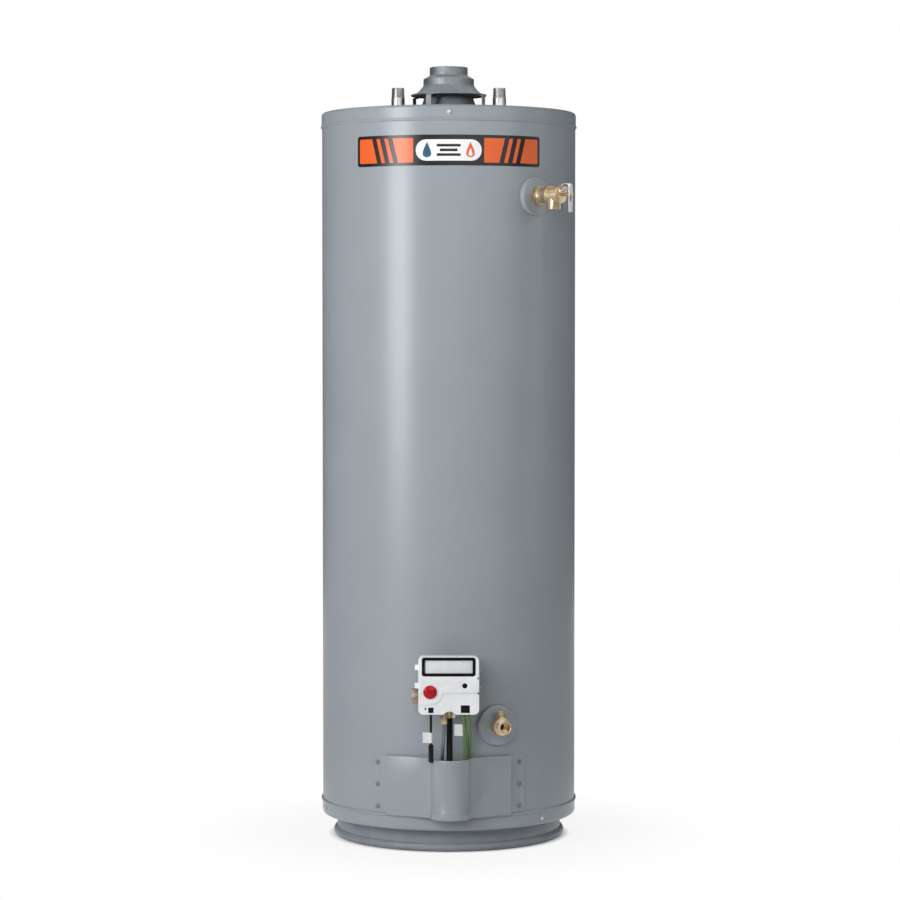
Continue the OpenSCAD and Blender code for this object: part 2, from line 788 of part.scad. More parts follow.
button_x = 22.7 - cover_w / 2;
button_y = -14.2;
boss_r = 24.5;
parting_y = -16.8;
bezel_low = 16.1;
bezel_y = bezel_low + bezel_h / 2;
lens_x = cover_w / 2 - 27.2;
lens_y = -1.9;
body_w = cover_w - 24;
body_low = -50;
body_high = 48;
body_back = 8;
body_front = 62;
cover_in = cover_front - cover_t;
cover_back = cover_front - cover_depth;
cover_low = -57;
cover_y = cover_low + cover_h / 2;
plug_x = 12.1 - body_w / 2;
plug_y = -48.7;
plug_w = 9.7;
plug_h = 10.3;
connector_x = body_w / 2 - 14.3;
connector_y = -46.6;
connector_w = 17;
connector_h = 14.5;
plug_face = cover_front - 1;
inlet_y = -28;
inlet_at = 31;
inlet_r = 14;
burner_outlet_x = 1.7;
burner_outlet_at = 36;
pilot_outlet_x = -9;
pilot_outlet_at = 54;
ring_r = button_d / 2 + 2.6;
button_gap = 0.4;
post_r = 4;
lower_posts = [[2 - body_w / 2, body_low + 3], [body_w / 2 + 1, body_low + 3]];
upper_posts = [for (side = [-1, 1]) [side * (body_w / 2 + 3), 6]];
shelf_at = cover_front - 4.5;

module on_control() {
    on_jacket(0, control_z) children();
}

// The upper cover's part of the front: all above the parting line and a round boss at the button
module upper_region(grow) {
    translate([button_x, parting_y - grow]) square([2 * cover_w, cover_h]);
    translate([button_x, button_y]) circle(boss_r + grow);
    translate([-cover_w, button_y - boss_r - grow]) square([cover_w + button_x, cover_h]);
}

module cover_outline(inset) {
    translate([0, cover_y]) rounded_rect(cover_w - 2 * inset, cover_h - 2 * inset, cover_r - inset);
}

module cover_shell() {
    difference() {
        translate([0, 0, cover_back]) linear_extrude(height = cover_depth) children();
        translate([0, 0, cover_back - 1]) linear_extrude(height = cover_depth - cover_t + 1)
            cover_outline(cover_t);
    }
}

module control_body() {
    color("#8d9092") on_control() difference() {
        union() {
            bar(-sheet_t - foam_t, body_back + 1, shank_r);
            bar(1, body_back + 1, 24);
            translate([-body_w / 2, body_low, body_back])
                cube([body_w, body_high - body_low, body_front - body_back]);
            translate([-body_w / 2 - 1, bezel_y - 14, body_front - 1])
                cube([body_w + 2, 28, shelf_at - body_front + 1]);
            for (p = concat(lower_posts, upper_posts)) translate(p) bar(body_front - 8, cover_in, post_r);
            for (p = upper_posts) translate([sign(p[0]) * (body_w / 2 + 1) - 4, p[1] - 4, body_front - 8])
                cube([8, 8, 8]);
            for (p = lower_posts) translate([p[0] - 4, p[1] - 3, body_front - 8]) cube([8, 8, 8]);
            for (y = [12, -18]) translate([body_w / 2 - 1, y, body_back + 14])
                cube([cover_w / 2 - body_w / 2 + 7, 9, 6]);
        }
        translate([0, inlet_y, inlet_at]) bar_x(-body_w / 2 - 1, -body_w / 2 + 24, inlet_r - 3);
        translate([burner_outlet_x, body_low, burner_outlet_at]) bar_y(-1, 14, 9);
        translate([button_x, button_y, 0]) bar(body_front - 8 - button_travel, body_front + 1, 3 + run_gap);
        bar(-60, -2, 9);
    }
}

module control_upper_cover() {
    color("#e9eaea") on_control() {
        difference() {
            cover_shell() intersection() {
                cover_outline(0);
                upper_region(0);
            }
            translate([0, bezel_y, shelf_at - 1]) linear_extrude(height = 10)
                rounded_rect(bezel_w + 0.3, bezel_h + 0.3, 5);
            translate([button_x, button_y, 0]) bar(cover_in - 1, cover_front + 1, ring_r + fit_gap);
            translate([lens_x, lens_y, 0]) bar(cover_in - 1, cover_front + 1, lens_d / 2 + fit_gap);
        }
        for (y = [-4, 31]) translate([-cover_w / 2 - 7, y - 5, cover_back]) cube([8.5, 10, 7]);
    }
}

module control_lower_cover() {
    tube_notch_w = 26;
    color("#e4e5e5") on_control() difference() {
        cover_shell() difference() {
            cover_outline(0);
            upper_region(parting_gap);
        }
        translate([plug_x, plug_y, cover_in + 1.5]) cube([plug_w + 0.4, plug_h + 0.4, 5], center = true);
        translate([connector_x, connector_y, cover_in + 1.5])
            cube([connector_w + 0.4, connector_h + 0.4, 5], center = true);
        translate([-45.7, -48.3, cover_in + 0.7]) cube([3, 4.4, 5]);
        translate([-cover_w / 2 + cover_r, cover_low - 1, 0])
            cube([cover_w - 2 * cover_r, cover_t + 3, cover_in]);
        translate([burner_outlet_x, cover_low - 8, 0]) bar(0, cover_front + 1, tube_notch_w / 2 + 1);
    }
}

module control_bezel() {
    color("#1d1e20") on_control() translate([0, bezel_y, shelf_at])
        linear_extrude(height = cover_front + 0.6 - shelf_at) difference() {
            rounded_rect(bezel_w, bezel_h, 5);
            rounded_rect(bezel_w - 2 * bezel_bar, bezel_h - 2 * bezel_bar, 1.5);
        }
}

module control_faceplate() {
    color("#e3e5e6") on_control() translate([0, bezel_y, shelf_at]) linear_extrude(height = 3)
        rounded_rect(bezel_w - 2 * bezel_bar - fit_gap, bezel_h - 2 * bezel_bar - fit_gap, 1.5);
}

module igniter_button() {
    r = button_d / 2;
    dome = 3;
    ball = (r * r + dome * dome) / (2 * dome);
    color("#b3121b") on_control() translate([button_x, button_y, 0]) {
        bar(body_front - 6, cover_front - 10, 3);
        bar(cover_front - 12, cover_in - 3, r + 1.6);
        bar(cover_front - 12, cover_front + 2, r);
        intersection() {
            translate([0, 0, cover_front + 2 + dome - ball]) sphere(ball, $fn = 180);
            bar(cover_front + 1, cover_front + 8, r);
        }
    }
}

module igniter_ring() {
    color("#f0f0ef") on_control() translate([button_x, button_y, 0]) difference() {
        bar(cover_in, cover_front + 1.2, ring_r);
        bar(cover_in - 1, cover_front + 3, button_d / 2 + button_gap);
    }
}

module igniter_spring() {
    color("#9a9da0") on_control() translate([button_x, button_y, 0])
        coil(body_front + 0.2, cover_front - 12.2, 5, 1, 3);
}

module status_lens() {
    color("#17181a") on_control() translate([lens_x, lens_y, 0]) {
        bar(cover_in - 2, cover_front + 0.3, lens_d / 2);
        bar(cover_in - 2, cover_in - 0.05, lens_d / 2 + 1.5);
    }
}

module gas_inlet_fitting() {
    nut_len = 13;
    thread_len = 16;
    face = -cover_w / 2 - nut_len;
    color("#b88a52") on_control() translate([0, inlet_y, inlet_at]) difference() {
        union() {
            bar_x(face, -cover_w / 2, 27 / sqrt(3), $fn = 6);
            bar_x(-cover_w / 2 - 0.2, -body_w / 2 - 0.2, inlet_r);
            bar_x(-body_w / 2 - 1, -body_w / 2 + 14, inlet_r - 3 - fit_gap);
        }
        bar_x(face - 1, face + thread_len, gas_inlet_bore / 2);
        bar_x(face, 0, 7);
    }
}

module burner_outlet_fitting() {
    color("#a88048") on_control() translate([burner_outlet_x, body_low, burner_outlet_at]) difference() {
        union() {
            rotate([0, 30, 0]) bar_y(-12, -0.05, 30 / sqrt(3), $fn = 6);
            rotate([0, 30, 0]) bar_y(-19, -11, 22 / sqrt(3), $fn = 6);
            bar_y(-1, 12, 9 - fit_gap);
        }
        bar_y(-20, 13, burner_tube_d / 2 + fit_gap);
    }
}

module pilot_outlet_fitting() {
    color("#c2a468") on_control() translate([pilot_outlet_x, body_low, pilot_outlet_at]) difference() {
        union() {
            bar_y(-15, -0.05, 4.6);
            bar_y(-29, -14, 11 / sqrt(3), $fn = 6);
        }
        bar_y(-30, -12, pilot_tube_d / 2 + fit_gap);
    }
}

// A plug that stands on the body and fills its window in the lower cover
module plug(x, y, w, h) {
    color("#161718") on_control() translate([x - w / 2, y - h / 2, body_front + 0.1])
        cube([w, h, plug_face - body_front]);
}

module igniter_plug() {
    plug(plug_x, plug_y, plug_w, plug_h);
}

module thermopile_connector() {
    plug(connector_x, connector_y, connector_w, connector_h);
}

// ---------- tubes and leads ----------

pass_z = 118;
burner_tube_y = -jacket_r - burner_outlet_at;
burner_bend_r = 30;
lead_d = 4.5;
sleeve_d = 9.5;
thermopile_d = 7;
// Points of a lead: their x, how far they stand out from y, and their height above z
function run(points, y, z) = [for (p = points) [p[0], -y - p[1], z + p[2]]];

pilot_reach = burner_d / 2 + 20;
mixer_reach = burner_d / 2 + 48;
mixer_lap = 5;
lead_out = plug_face - 8;
lead_drop = plug_y - plug_h / 2 - 0.05;
sleeve_top = run([[-34, 62, -118]], jacket_r, control_z)[0];
sleeve_foot = run([[-34, 14.5, -2.5]], jacket_r, door_top_z)[0];
igniter_top_route = concat(run([[plug_x, lead_out, lead_drop], [-34, 73, -70], [-34, 67, -88],
    [-34, 64, -102]], jacket_r, control_z), [sleeve_top]);
sleeve_route = concat([sleeve_top, sleeve_top + [0, 1, -8]], run([[-34, 56, 18], [-34, 46, 9], [-34, 31, 1]],
    jacket_r, door_top_z), [sleeve_foot]);
igniter_foot_route = concat([sleeve_foot],
    run([[-34, 9, -3.7], [-34, 4.5, -9], [-34, 3, -19], [-33, 2, -33], [-31, -4, -51]], jacket_r, door_top_z),
    run([[-29, -16, 5], [-28, -32, 0], [-28, -64, 0]], jacket_r, pass_z),
    run([[-27, 35, 1], [-27, 2, 1.5], [-27, -6, 6], [-27, -6, 13]], pilot_reach, pass_z));
thermopile_a_route = concat(
    run([[connector_x - 4.2, lead_out, lead_drop], [29, 74, -70], [31, 64, -95], [31.5, 48, -122]],
        jacket_r, control_z),
    run([[31.5, 31, 5], [31.5, 25, -19], [30, 18, -43]], jacket_r, door_top_z),
    run([[25, 0, 8], [22, -26, 0], [22, -64, 0]], jacket_r, pass_z),
    run([[22, 35, 1], [21.5, 2, 1.5], [21.5, -6, 6], [21.5, -6, 13]], pilot_reach, pass_z));
thermopile_b_route = concat(
    run([[connector_x + 4.3, lead_out, lead_drop], [38, 74, -70], [40, 62, -95], [40, 43, -121]],
        jacket_r, control_z),
    run([[40, 20, 12], [40, 8, -5], [39, 5.5, -27], [37, 0, -49]], jacket_r, door_top_z),
    run([[34, -14, 5], [32, -29, 0], [32, -64, 0]], jacket_r, pass_z),
    run([[31, 35, 1], [30.5, 2, 1.5], [30.5, -6, 6], [30.5, -6, 13]], pilot_reach, pass_z));
pilot_route = concat(
    run([[-9, pilot_outlet_at, -65], [-9, pilot_outlet_at, -90], [-10, 49, -112]], jacket_r, control_z),
    run([[-12, 36, 16], [-13, 30, -9], [-13.5, 26, -33], [-14, 16, -54]], jacket_r, door_top_z),
    run([[-14, -4, 3], [-14, -28, 0], [-14, -64, 0]], jacket_r, pass_z),
    run([[-18, 35, 0], [-18, 2, 0], [-18, -6, 6], [-18, -6, 13]], pilot_reach, pass_z));

module burner_tube() {
    top_z = control_z + body_low + 6;
    low_z = pass_z + burner_bend_r;
    color("#1b1c1e") translate([burner_outlet_x, burner_tube_y, 0]) {
        translate([0, 0, low_z]) cylinder(h = top_z - low_z, r = burner_tube_d / 2);
        translate([0, burner_bend_r, low_z]) rotate([0, 90, 0]) rotate([0, 0, -90])
            rotate_extrude(angle = 90) translate([burner_bend_r, 0]) circle(burner_tube_d / 2);
        translate([0, burner_bend_r, pass_z]) rotate([-90, 0, 0])
            cylinder(h = mixer_lap - burner_tube_y - burner_bend_r - mixer_reach, r = burner_tube_d / 2);
    }
}

module pilot_tube() {
    color("#9fa3a6") tube(pilot_route, pilot_tube_d);
}

module igniter_lead() {
    color("#1b1b1c") {
        tube(igniter_top_route, lead_d);
        tube(igniter_foot_route, lead_d);
    }
}

module igniter_sleeve() {
    color("#131314") tube(sleeve_route, sleeve_d, 10);
}

module thermopile_leads() {
    color("#5f7a4c") {
        tube(thermopile_a_route, thermopile_d);
        tube(thermopile_b_route, thermopile_d);
    }
}

// Paper tags folded round the leads
module lead_tags() {
    color("#f4f4f2") {
        translate(sleeve_top + [-15.7, -7, 1]) rotate([-3, 0, 0]) cube([17.5, 0.6, 20.8]);
        translate([10.7, -jacket_r - 66, control_z - 104]) rotate([-20, 0, 0]) cube([17, 0.6, 24]);
    }
}

// ---------- doors ----------

door_wall_y = sqrt(jacket_r * jacket_r - door_box_x * door_box_x) + 9.2;
door_wing_y = jacket_r + 16.5;
door_bulge_y = jacket_r + 14;
door_wing_x = [door_bulge_x - door_bulge_r, door_bulge_x + door_bulge_r];
door_hem_t = 1.2;

module ring_sector(r0, r1, a0, a1) {
    far = 2 * r1;
    difference() {
        circle(r1, $fn = 180);
        circle(r0, $fn = 180);
        polygon(concat([[0, 0]], arc([0, 0], far, a1, 360 + a0, 4)));
    }
}

module door_bulge(grow) {
    translate([door_bulge_x, -door_bulge_y]) difference() {
        circle(door_bulge_r + grow);
        circle(door_bulge_r - door_t);
        translate([-2 * door_bulge_r, -1.3]) square(4 * door_bulge_r);
    }
}

module door_outline() {
    rim = jacket_r + fit_gap;
    a0 = asin((door_box_x - 3 * door_t) / rim);
    a1 = asin((door_box_x + door_flange_w) / rim);
    wall_end = sqrt(rim * rim - pow(door_box_x - door_t, 2)) + 0.2;
    for (side = [0, 1]) mirror([side, 0]) {
        rotate(-90) ring_sector(rim, rim + door_t, a0, a1);
        translate([door_box_x - door_t, -door_wall_y]) square([door_t, door_wall_y - wall_end]);
    }
    polygon(sheet([[-door_box_x, -door_wall_y], [door_wing_x[0] + 2.5, -door_wing_y]], door_t));
    polygon(sheet([[door_wing_x[1] - 2.5, -door_wing_y], [door_box_x, -door_wall_y]], door_t));
}

module outer_door() {
    notch_w = sleeve_d + 1.2;
    color("#979da0") difference() {
        union() {
            difference() {
                translate([0, 0, door_z]) linear_extrude(height = door_h) {
                    door_outline();
                    door_bulge(0);
                }
                bar(door_z - 1, door_flange_z, jacket_r + bottom_bead_proud + fit_gap);
            }
            for (z = [door_z, door_top_z - door_hem_h]) translate([0, 0, z])
                linear_extrude(height = door_hem_h) door_bulge(door_hem_t);
        }
        translate([sleeve_foot[0] - notch_w / 2, -door_wing_y - 18, door_top_z - 8]) cube([notch_w, 26, 20]);
        for (z = door_screw_zs) screw_holes([-door_screw_angle, door_screw_angle], z, screw_r + fit_gap);
    }
}

module door_screws() {
    for (a = [-1, 1], z = door_screw_zs) screw(a * door_screw_angle, z, door_t + 0.1);
}

inner_door_t = 1.6;
gasket_t = 1.2;
port_x = 62;
port_r = 11;
inner_half_w = access_w / 2 - 1;

module skirt_plate(r0, r1) {
    intersection() {
        difference() {
            bar(0, access_z + access_h, r1);
            bar(-1, access_z + access_h + 1, r0);
        }
        translate([-inner_half_w, -jacket_r, access_z + 3]) cube([2 * inner_half_w, jacket_r, access_h - 6]);
    }
}

module lead_holes(gap) {
    for (p = [[burner_outlet_x, burner_tube_d], [-14, pilot_tube_d + 1.5], [-28, lead_d + 2],
        [22.3, thermopile_d + 1.6], [32.3, thermopile_d + 1.6]])
        translate([p[0], -tank_r, pass_z]) bar_y(-foam_t, foam_t, p[1] / 2 + gap);
}

module inner_door() {
    color("#5b5a57") difference() {
        skirt_plate(tank_r + 0.2 + gasket_t, tank_r + 0.2 + gasket_t + inner_door_t);
        lead_holes(0.5);
        translate([port_x, -tank_r, pass_z + 14]) bar_y(-foam_t, foam_t, port_r);
    }
}

module door_gasket() {
    color("#c9c4b4") difference() {
        skirt_plate(tank_r + 0.1, tank_r + 0.1 + gasket_t);
        translate([-access_w / 2 + 14, -tank_r - 15, access_z + 14])
            cube([access_w - 28, tank_r, access_h - 28]);
    }
}

// ---------- burner ----------

burner_z = pass_z + 14;
leg_foot_z = pan_floor + 1.6;

module burner() {
    r = burner_d / 2;
    color("#6f6e6a") {
        difference() {
            translate([0, 0, burner_z]) cylinder(h = 14, r = r);
            translate([0, 0, burner_z + 2]) cylinder(h = 10, r = r - 2);
            for (a = [0:30:330]) rotate(a) translate([r * 0.45, -2, burner_z + 11]) cube([r * 0.45, 4, 5]);
        }
        difference() {
            union() {
                translate([burner_outlet_x, 0, pass_z]) bar_y(-mixer_reach, 20, 13);
                translate([burner_outlet_x, 0, pass_z]) cylinder(h = burner_z - pass_z + 1, r = 11);
            }
            translate([burner_outlet_x, 0, pass_z]) bar_y(-mixer_reach - 1, -1, 11.5);
        }
        for (a = [30, 150, 270]) rotate(a) translate([r - 8, 12, 0]) bar(leg_foot_z, burner_z + 1, 3);
    }
}

module pilot_assembly() {
    plate_z = pass_z + 13.6;
    color("#8f8b83") translate([0, -pilot_reach, plate_z]) {
        translate([-34, 0, 0]) cube([72, 12, 2]);
        for (p = [[-18, 5, 15], [-27, 2, 20], [21.5, 4, 18], [30.5, 4, 18]])
            translate([p[0], 6, 1]) cylinder(h = p[2], r = p[1]);
        translate([-4, 11, 0]) cube([3, pilot_reach - burner_d / 2 - 11 - fit_gap, 12]);
    }
}

module flame_arrestor() {
    color("#7c7a75") translate([0, 0, pan_floor + 0.05]) difference() {
        cylinder(h = 1.5, r = air_hole_d / 2 + 8);
        for (i = [-6:6]) translate([-sqrt(pow(air_hole_d / 2 - 22, 2) - pow(i * 10, 2)), i * 10 - 2.5, -1])
            cube([2 * sqrt(pow(air_hole_d / 2 - 22, 2) - pow(i * 10, 2)), 5, 4]);
    }
}

jacket();
top_pan();
bottom_pan();
base_ring();
insulation();
front_label();
pan_screws();
pipe_grommets();
tank_shell();
tank_top_head();
tank_bottom_head();
tank_spuds();
flue_tube();
flue_baffle();
flue_collar();
cold_water_nipple();
hot_water_nipple();
dip_tube();
anode_rod();
draft_hood();
draft_hood_legs();
tp_escutcheon();
tp_valve_body();
tp_bonnet();
tp_lever();
tp_lever_pin();
tp_stem();
tp_spring();
tp_probe();
drain_escutcheon();
drain_valve_body();
drain_stem();
drain_plunger();
control_body();
control_upper_cover();
control_lower_cover();
control_bezel();
control_faceplate();
igniter_button();
igniter_ring();
igniter_spring();
status_lens();
gas_inlet_fitting();
burner_outlet_fitting();
pilot_outlet_fitting();
igniter_plug();
thermopile_connector();
burner_tube();
pilot_tube();
igniter_lead();
igniter_sleeve();
thermopile_leads();
lead_tags();
outer_door();
door_screws();
inner_door();
door_gasket();
burner();
pilot_assembly();
flame_arrestor();
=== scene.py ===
# %% [markdown]
# # A tall gas water heater
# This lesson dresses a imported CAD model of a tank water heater. The CAD parts give every size and
# place. Blender adds what the eye looks for: enamel with a soft sheen, cast brass, moulded plastic,
# pipe threads, folded sheet metal with real bends, and soft studio light.
# The frame is loaded first. Nothing in it is moved or reshaped.

# %% load the frame
import json
import math

import bmesh
import bpy
from mathutils import Matrix, Vector


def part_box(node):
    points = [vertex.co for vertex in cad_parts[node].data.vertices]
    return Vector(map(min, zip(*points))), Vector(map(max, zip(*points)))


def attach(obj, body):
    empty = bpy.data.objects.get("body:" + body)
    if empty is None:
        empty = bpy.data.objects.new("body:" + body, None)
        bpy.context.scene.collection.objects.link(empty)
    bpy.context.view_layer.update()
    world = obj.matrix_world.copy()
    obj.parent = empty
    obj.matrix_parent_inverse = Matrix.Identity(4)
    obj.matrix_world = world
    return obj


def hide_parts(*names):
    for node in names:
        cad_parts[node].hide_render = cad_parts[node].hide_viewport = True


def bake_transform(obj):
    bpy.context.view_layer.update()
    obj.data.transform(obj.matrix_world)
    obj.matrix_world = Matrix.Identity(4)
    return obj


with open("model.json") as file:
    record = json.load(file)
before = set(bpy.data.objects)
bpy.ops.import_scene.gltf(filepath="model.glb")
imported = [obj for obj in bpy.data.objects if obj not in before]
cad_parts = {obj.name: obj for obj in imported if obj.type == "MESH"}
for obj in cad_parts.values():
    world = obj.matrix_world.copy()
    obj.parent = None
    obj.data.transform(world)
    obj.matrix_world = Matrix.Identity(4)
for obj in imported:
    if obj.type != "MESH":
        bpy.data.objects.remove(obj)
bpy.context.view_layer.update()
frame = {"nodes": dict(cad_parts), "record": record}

MM = 0.001
scene = bpy.context.scene

# %% [markdown]
# ## Where things are
# Every piece is placed from the frame. What sits on the round jacket has its own small frame: x runs
# sideways, y up and z straight out of the jacket. One matrix does that for any angle and height.

# %% measures taken from the frame
def centre(node):
    """The middle of a CAD node's box, in metres."""
    low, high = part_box(node)
    return (low + high) / 2


jacket_radius = -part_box("jacket")[0].x / MM
TO_METRES = Matrix.Scale(MM, 4)


def on_jacket(angle, height_mm):
    """The local frame, in millimetres, of a place on the jacket."""
    turn = Matrix.Rotation(angle, 4, "Z")
    out = Matrix.Translation((0, -jacket_radius, height_mm))
    return TO_METRES @ turn @ out @ Matrix.Rotation(math.pi / 2, 4, "X")


control_height = 340.0  # the axis of the control's threaded shank
control_place = on_jacket(0, control_height)
hose_mount = next(m for m in frame["record"]["mounts"] if m["name"] == "drain_hose_thread")
hose_spot = Vector(hose_mount["pos_m"])
drain_place = on_jacket(math.atan2(hose_spot.x, -hose_spot.y), hose_spot.z / MM)
print("jacket radius", round(jacket_radius, 2), "mm, hose thread at", round(hose_spot.z / MM), "mm")

# %% [markdown]
# ## Camera
# A long lens far away keeps the tall cylinder's sides nearly parallel, as in a catalogue picture.
# The camera stands at two thirds of the heater's height and looks slightly down.

# %% camera
lens_mm = 114.46
camera_distance = 5.764
camera_height = 1.017
look_down = math.radians(2.42)

camera_data = bpy.data.cameras.new("catalogue_camera")
camera_data.lens = lens_mm
camera_data.sensor_width = 36
camera_data.shift_x = 0.00144  # puts the heater a hair left of the middle
camera = bpy.data.objects.new("catalogue_camera", camera_data)
camera.location = (0, -camera_distance, camera_height)
camera.rotation_euler = (math.pi / 2 - look_down, 0, 0)
scene.collection.objects.link(camera)
scene.camera = camera
print("camera", tuple(round(v, 3) for v in camera.location))

# %% [markdown]
# ## Nodes and colours
# One function adds a shader node with its settings and links. Another turns a paint chart's hex
# colour, which is sRGB, into the linear numbers that the renderer works in.

# %% node and colour helpers
def add_node(tree, kind, inputs=None, **settings):
    """A new node; inputs may be values or sockets to link from."""
    made = tree.nodes.new(kind)
    for key, value in settings.items():
        setattr(made, key, value)
    for key, value in (inputs or {}).items():
        if isinstance(value, bpy.types.NodeSocket):
            tree.links.new(value, made.inputs[key])
        else:
            made.inputs[key].default_value = value
    return made


def linear(chart):
    """A hex sRGB colour as linear red, green, blue and alpha."""
    parts = [int(chart[i:i + 2], 16) / 255 for i in (0, 2, 4)]
    return tuple(c / 12.92 if c <= 0.04045 else ((c + 0.055) / 1.055) ** 2.4 for c in parts) + (1.0,)


def finish_of(name, chart, **sockets):
    """A material with one Principled shader, its colour and its constants."""
    material = bpy.data.materials.new(name)
    material.use_nodes = True
    shader = material.node_tree.nodes["Principled BSDF"]
    shader.inputs["Base Color"].default_value = linear(chart)
    for key, value in sockets.items():
        shader.inputs[key.replace("_", " ")].default_value = value
    return material


def object_space(tree):
    """Coordinates that stay with the piece, in metres."""
    return add_node(tree, "ShaderNodeTexCoord").outputs["Object"]


def noise_field(material, size_mm, detail=3.0, stretch=None):
    """Noise whose lumps are size_mm wide; stretch draws them out along an axis."""
    tree = material.node_tree
    place = object_space(tree)
    if stretch:
        place = add_node(tree, "ShaderNodeMapping", {"Vector": place, "Scale": stretch}).outputs[0]
    settings = {"Vector": place, "Scale": 1 / (size_mm * MM), "Detail": detail}
    return add_node(tree, "ShaderNodeTexNoise", settings).outputs["Fac"]


NOISE_LOW, NOISE_HIGH = 0.3, 0.7  # most of a noise field lies between these


def vary_colour(material, field, dark, light, low=NOISE_LOW, high=NOISE_HIGH):
    """Lets the colour drift between two chart colours as the field goes from low to high."""
    tree = material.node_tree
    ramp = add_node(tree, "ShaderNodeValToRGB", {"Fac": field})
    ramp.color_ramp.elements[0].position = low
    ramp.color_ramp.elements[1].position = high
    ramp.color_ramp.elements[0].color = linear(dark)
    ramp.color_ramp.elements[1].color = linear(light)
    tree.links.new(ramp.outputs["Color"], tree.nodes["Principled BSDF"].inputs["Base Color"])


def mottle(material, size_mm, detail, dark, light):
    """Lets the colour drift between two chart colours in lumps size_mm wide."""
    vary_colour(material, noise_field(material, size_mm, detail), dark, light)


def vary_gloss(material, field, low, high):
    """Lets the roughness drift between low and high."""
    tree = material.node_tree
    spread = add_node(tree, "ShaderNodeMapRange", {"Value": field, "From Min": NOISE_LOW,
                                                   "From Max": NOISE_HIGH, "To Min": low, "To Max": high})
    tree.links.new(spread.outputs["Result"], tree.nodes["Principled BSDF"].inputs["Roughness"])


def emboss(material, field, height_mm, strength=1.0):
    """Bump whose full height is height_mm."""
    tree = material.node_tree
    settings = {"Height": field, "Distance": height_mm * MM, "Strength": strength}
    bump = add_node(tree, "ShaderNodeBump", settings)
    tree.links.new(bump.outputs["Normal"], tree.nodes["Principled BSDF"].inputs["Normal"])


print("white is", linear("ffffff"), "and mid grey is", round(linear("808080")[0], 3))

# %% [markdown]
# ## Painted sheet
# The jacket, both pans, the trim rings round the valves and the outer door are thin steel sheet with
# baked enamel. It dries to a satin skin with a faint orange peel of lumps a few millimetres wide.
# The enamel is a dielectric over a grey pigment, so its metallic value is 0. A roughness of about a
# third draws a tall soft stripe of light, and fine bump keeps the stripe from looking like glass.
# An image could carry the mottle, but noise in the piece's own space needs no unwrapping.

# %% enamels
# jacket, pans, trim rings and outer door: smooth satin paint in a cool grey
baked_enamel = finish_of("grey_baked_enamel", "959ca2", Roughness=0.32, Specular_IOR_Level=0.5)
mottle(baked_enamel, 180, 2, "939aa0", "979ea4")
vary_gloss(baked_enamel, noise_field(baked_enamel, 60, 2), 0.31, 0.33)
emboss(baked_enamel, noise_field(baked_enamel, 5, 2), 0.012, 0.15)

# base ring: the same paint in a thinner, duller coat that shows the sheet's unevenness; its colour is
# painted darker than the jacket's, as shade on the low ring
shaded_base_enamel = finish_of("shaded_base_ring_enamel", "858b92", Roughness=0.42, Specular_IOR_Level=0.4)
mottle(shaded_base_enamel, 45, 4, "80868d", "8a9097")
emboss(shaded_base_enamel, noise_field(shaded_base_enamel, 3, 2), 0.02, 0.5)

# burner tube: bent steel tube with a thin black enamel, which gives back very little light
black_enamel = finish_of("black_enamelled_tube", "101112", Roughness=0.45, Specular_IOR_Level=0.15)
mottle(black_enamel, 14, 3, "0e0f10", "161719")
emboss(black_enamel, noise_field(black_enamel, 1.5, 2), 0.01, 0.6)

# tank, heads, spuds and flue: hot-rolled steel, fired with the glass inside, a dull blue-grey
glass_lined_steel = finish_of("glass_lined_tank_steel", "4e555b", Roughness=0.5)
mottle(glass_lined_steel, 60, 4, "3d4449", "5a6167")
print("four enamels")

# %% [markdown]
# ## Bare metals
# The draft hood is galvanised sheet. Hot zinc freezes in flat crystals, the spangle, each a little
# brighter or duller than the next. Voronoi cells 6 mm across stand for them.
# The pipe nipples are zinc-plated pipe, the small steel parts are plated, tumbled or phosphated, and
# the valves are cast brass. Metals keep the default IOR; their colour is the colour of their
# reflection, and noise in colour or gloss stands for wear, handling and the way they were made.

# %% zinc and steel
def metal(name, chart, roughness):
    """A bare metal, whose colour is that of its reflections."""
    return finish_of(name, chart, Metallic=1.0, Roughness=roughness)


# hood, legs and flue collar: hot-dipped zinc, a dull grey with pale and dark crystals
galvanised_sheet = metal("galvanised_sheet", "8f9599", 0.6)
tree = galvanised_sheet.node_tree
spangle = add_node(tree, "ShaderNodeTexVoronoi", {"Vector": object_space(tree), "Scale": 1 / (6 * MM)})
vary_colour(galvanised_sheet, spangle.outputs["Color"], "898f93", "959b9f", 0.1, 0.9)
vary_gloss(galvanised_sheet, noise_field(galvanised_sheet, 12, 3), 0.56, 0.64)

# pipe nipples: zinc-plated pipe with fine marks along it from drawing
plated_pipe = metal("zinc_plated_pipe", "bfbdc0", 0.38)
vary_colour(plated_pipe, noise_field(plated_pipe, 9, 4, (1, 1, 0.25)), "aeacaf", "cfced0")
vary_gloss(plated_pipe, noise_field(plated_pipe, 3, 3, (1, 1, 0.2)), 0.32, 0.44)

# pan screws, lever pin and springs: bright plated steel, a soft clear shine
bright_steel = metal("plated_steel", "cfd1d6", 0.36)
vary_gloss(bright_steel, noise_field(bright_steel, 2, 3), 0.3, 0.42)

# lift lever: stamped strap, plated and tumbled, pale and nearly matt
lever_steel = metal("tumbled_plated_steel", "e9e6ea", 0.5)
vary_gloss(lever_steel, noise_field(lever_steel, 2, 3), 0.45, 0.55)

# door screws: phosphated steel, a dull mid grey
screw_steel = metal("phosphated_screw_steel", "8b8d8f", 0.55)
mottle(screw_steel, 1.5, 3, "7f8183", "969899")

# inner door, baffle and floor plate: bare steel as rolled, cloudy and dark
mill_steel = metal("mill_finish_steel", "7b7c7d", 0.5)
mottle(mill_steel, 20, 5, "6d6d6d", "88898b")

# burner and pilot bracket: stamped steel, browned a little by heat
burner_sheet = metal("stamped_burner_sheet", "7a7874", 0.45)
mottle(burner_sheet, 16, 5, "6a6661", "86847f")

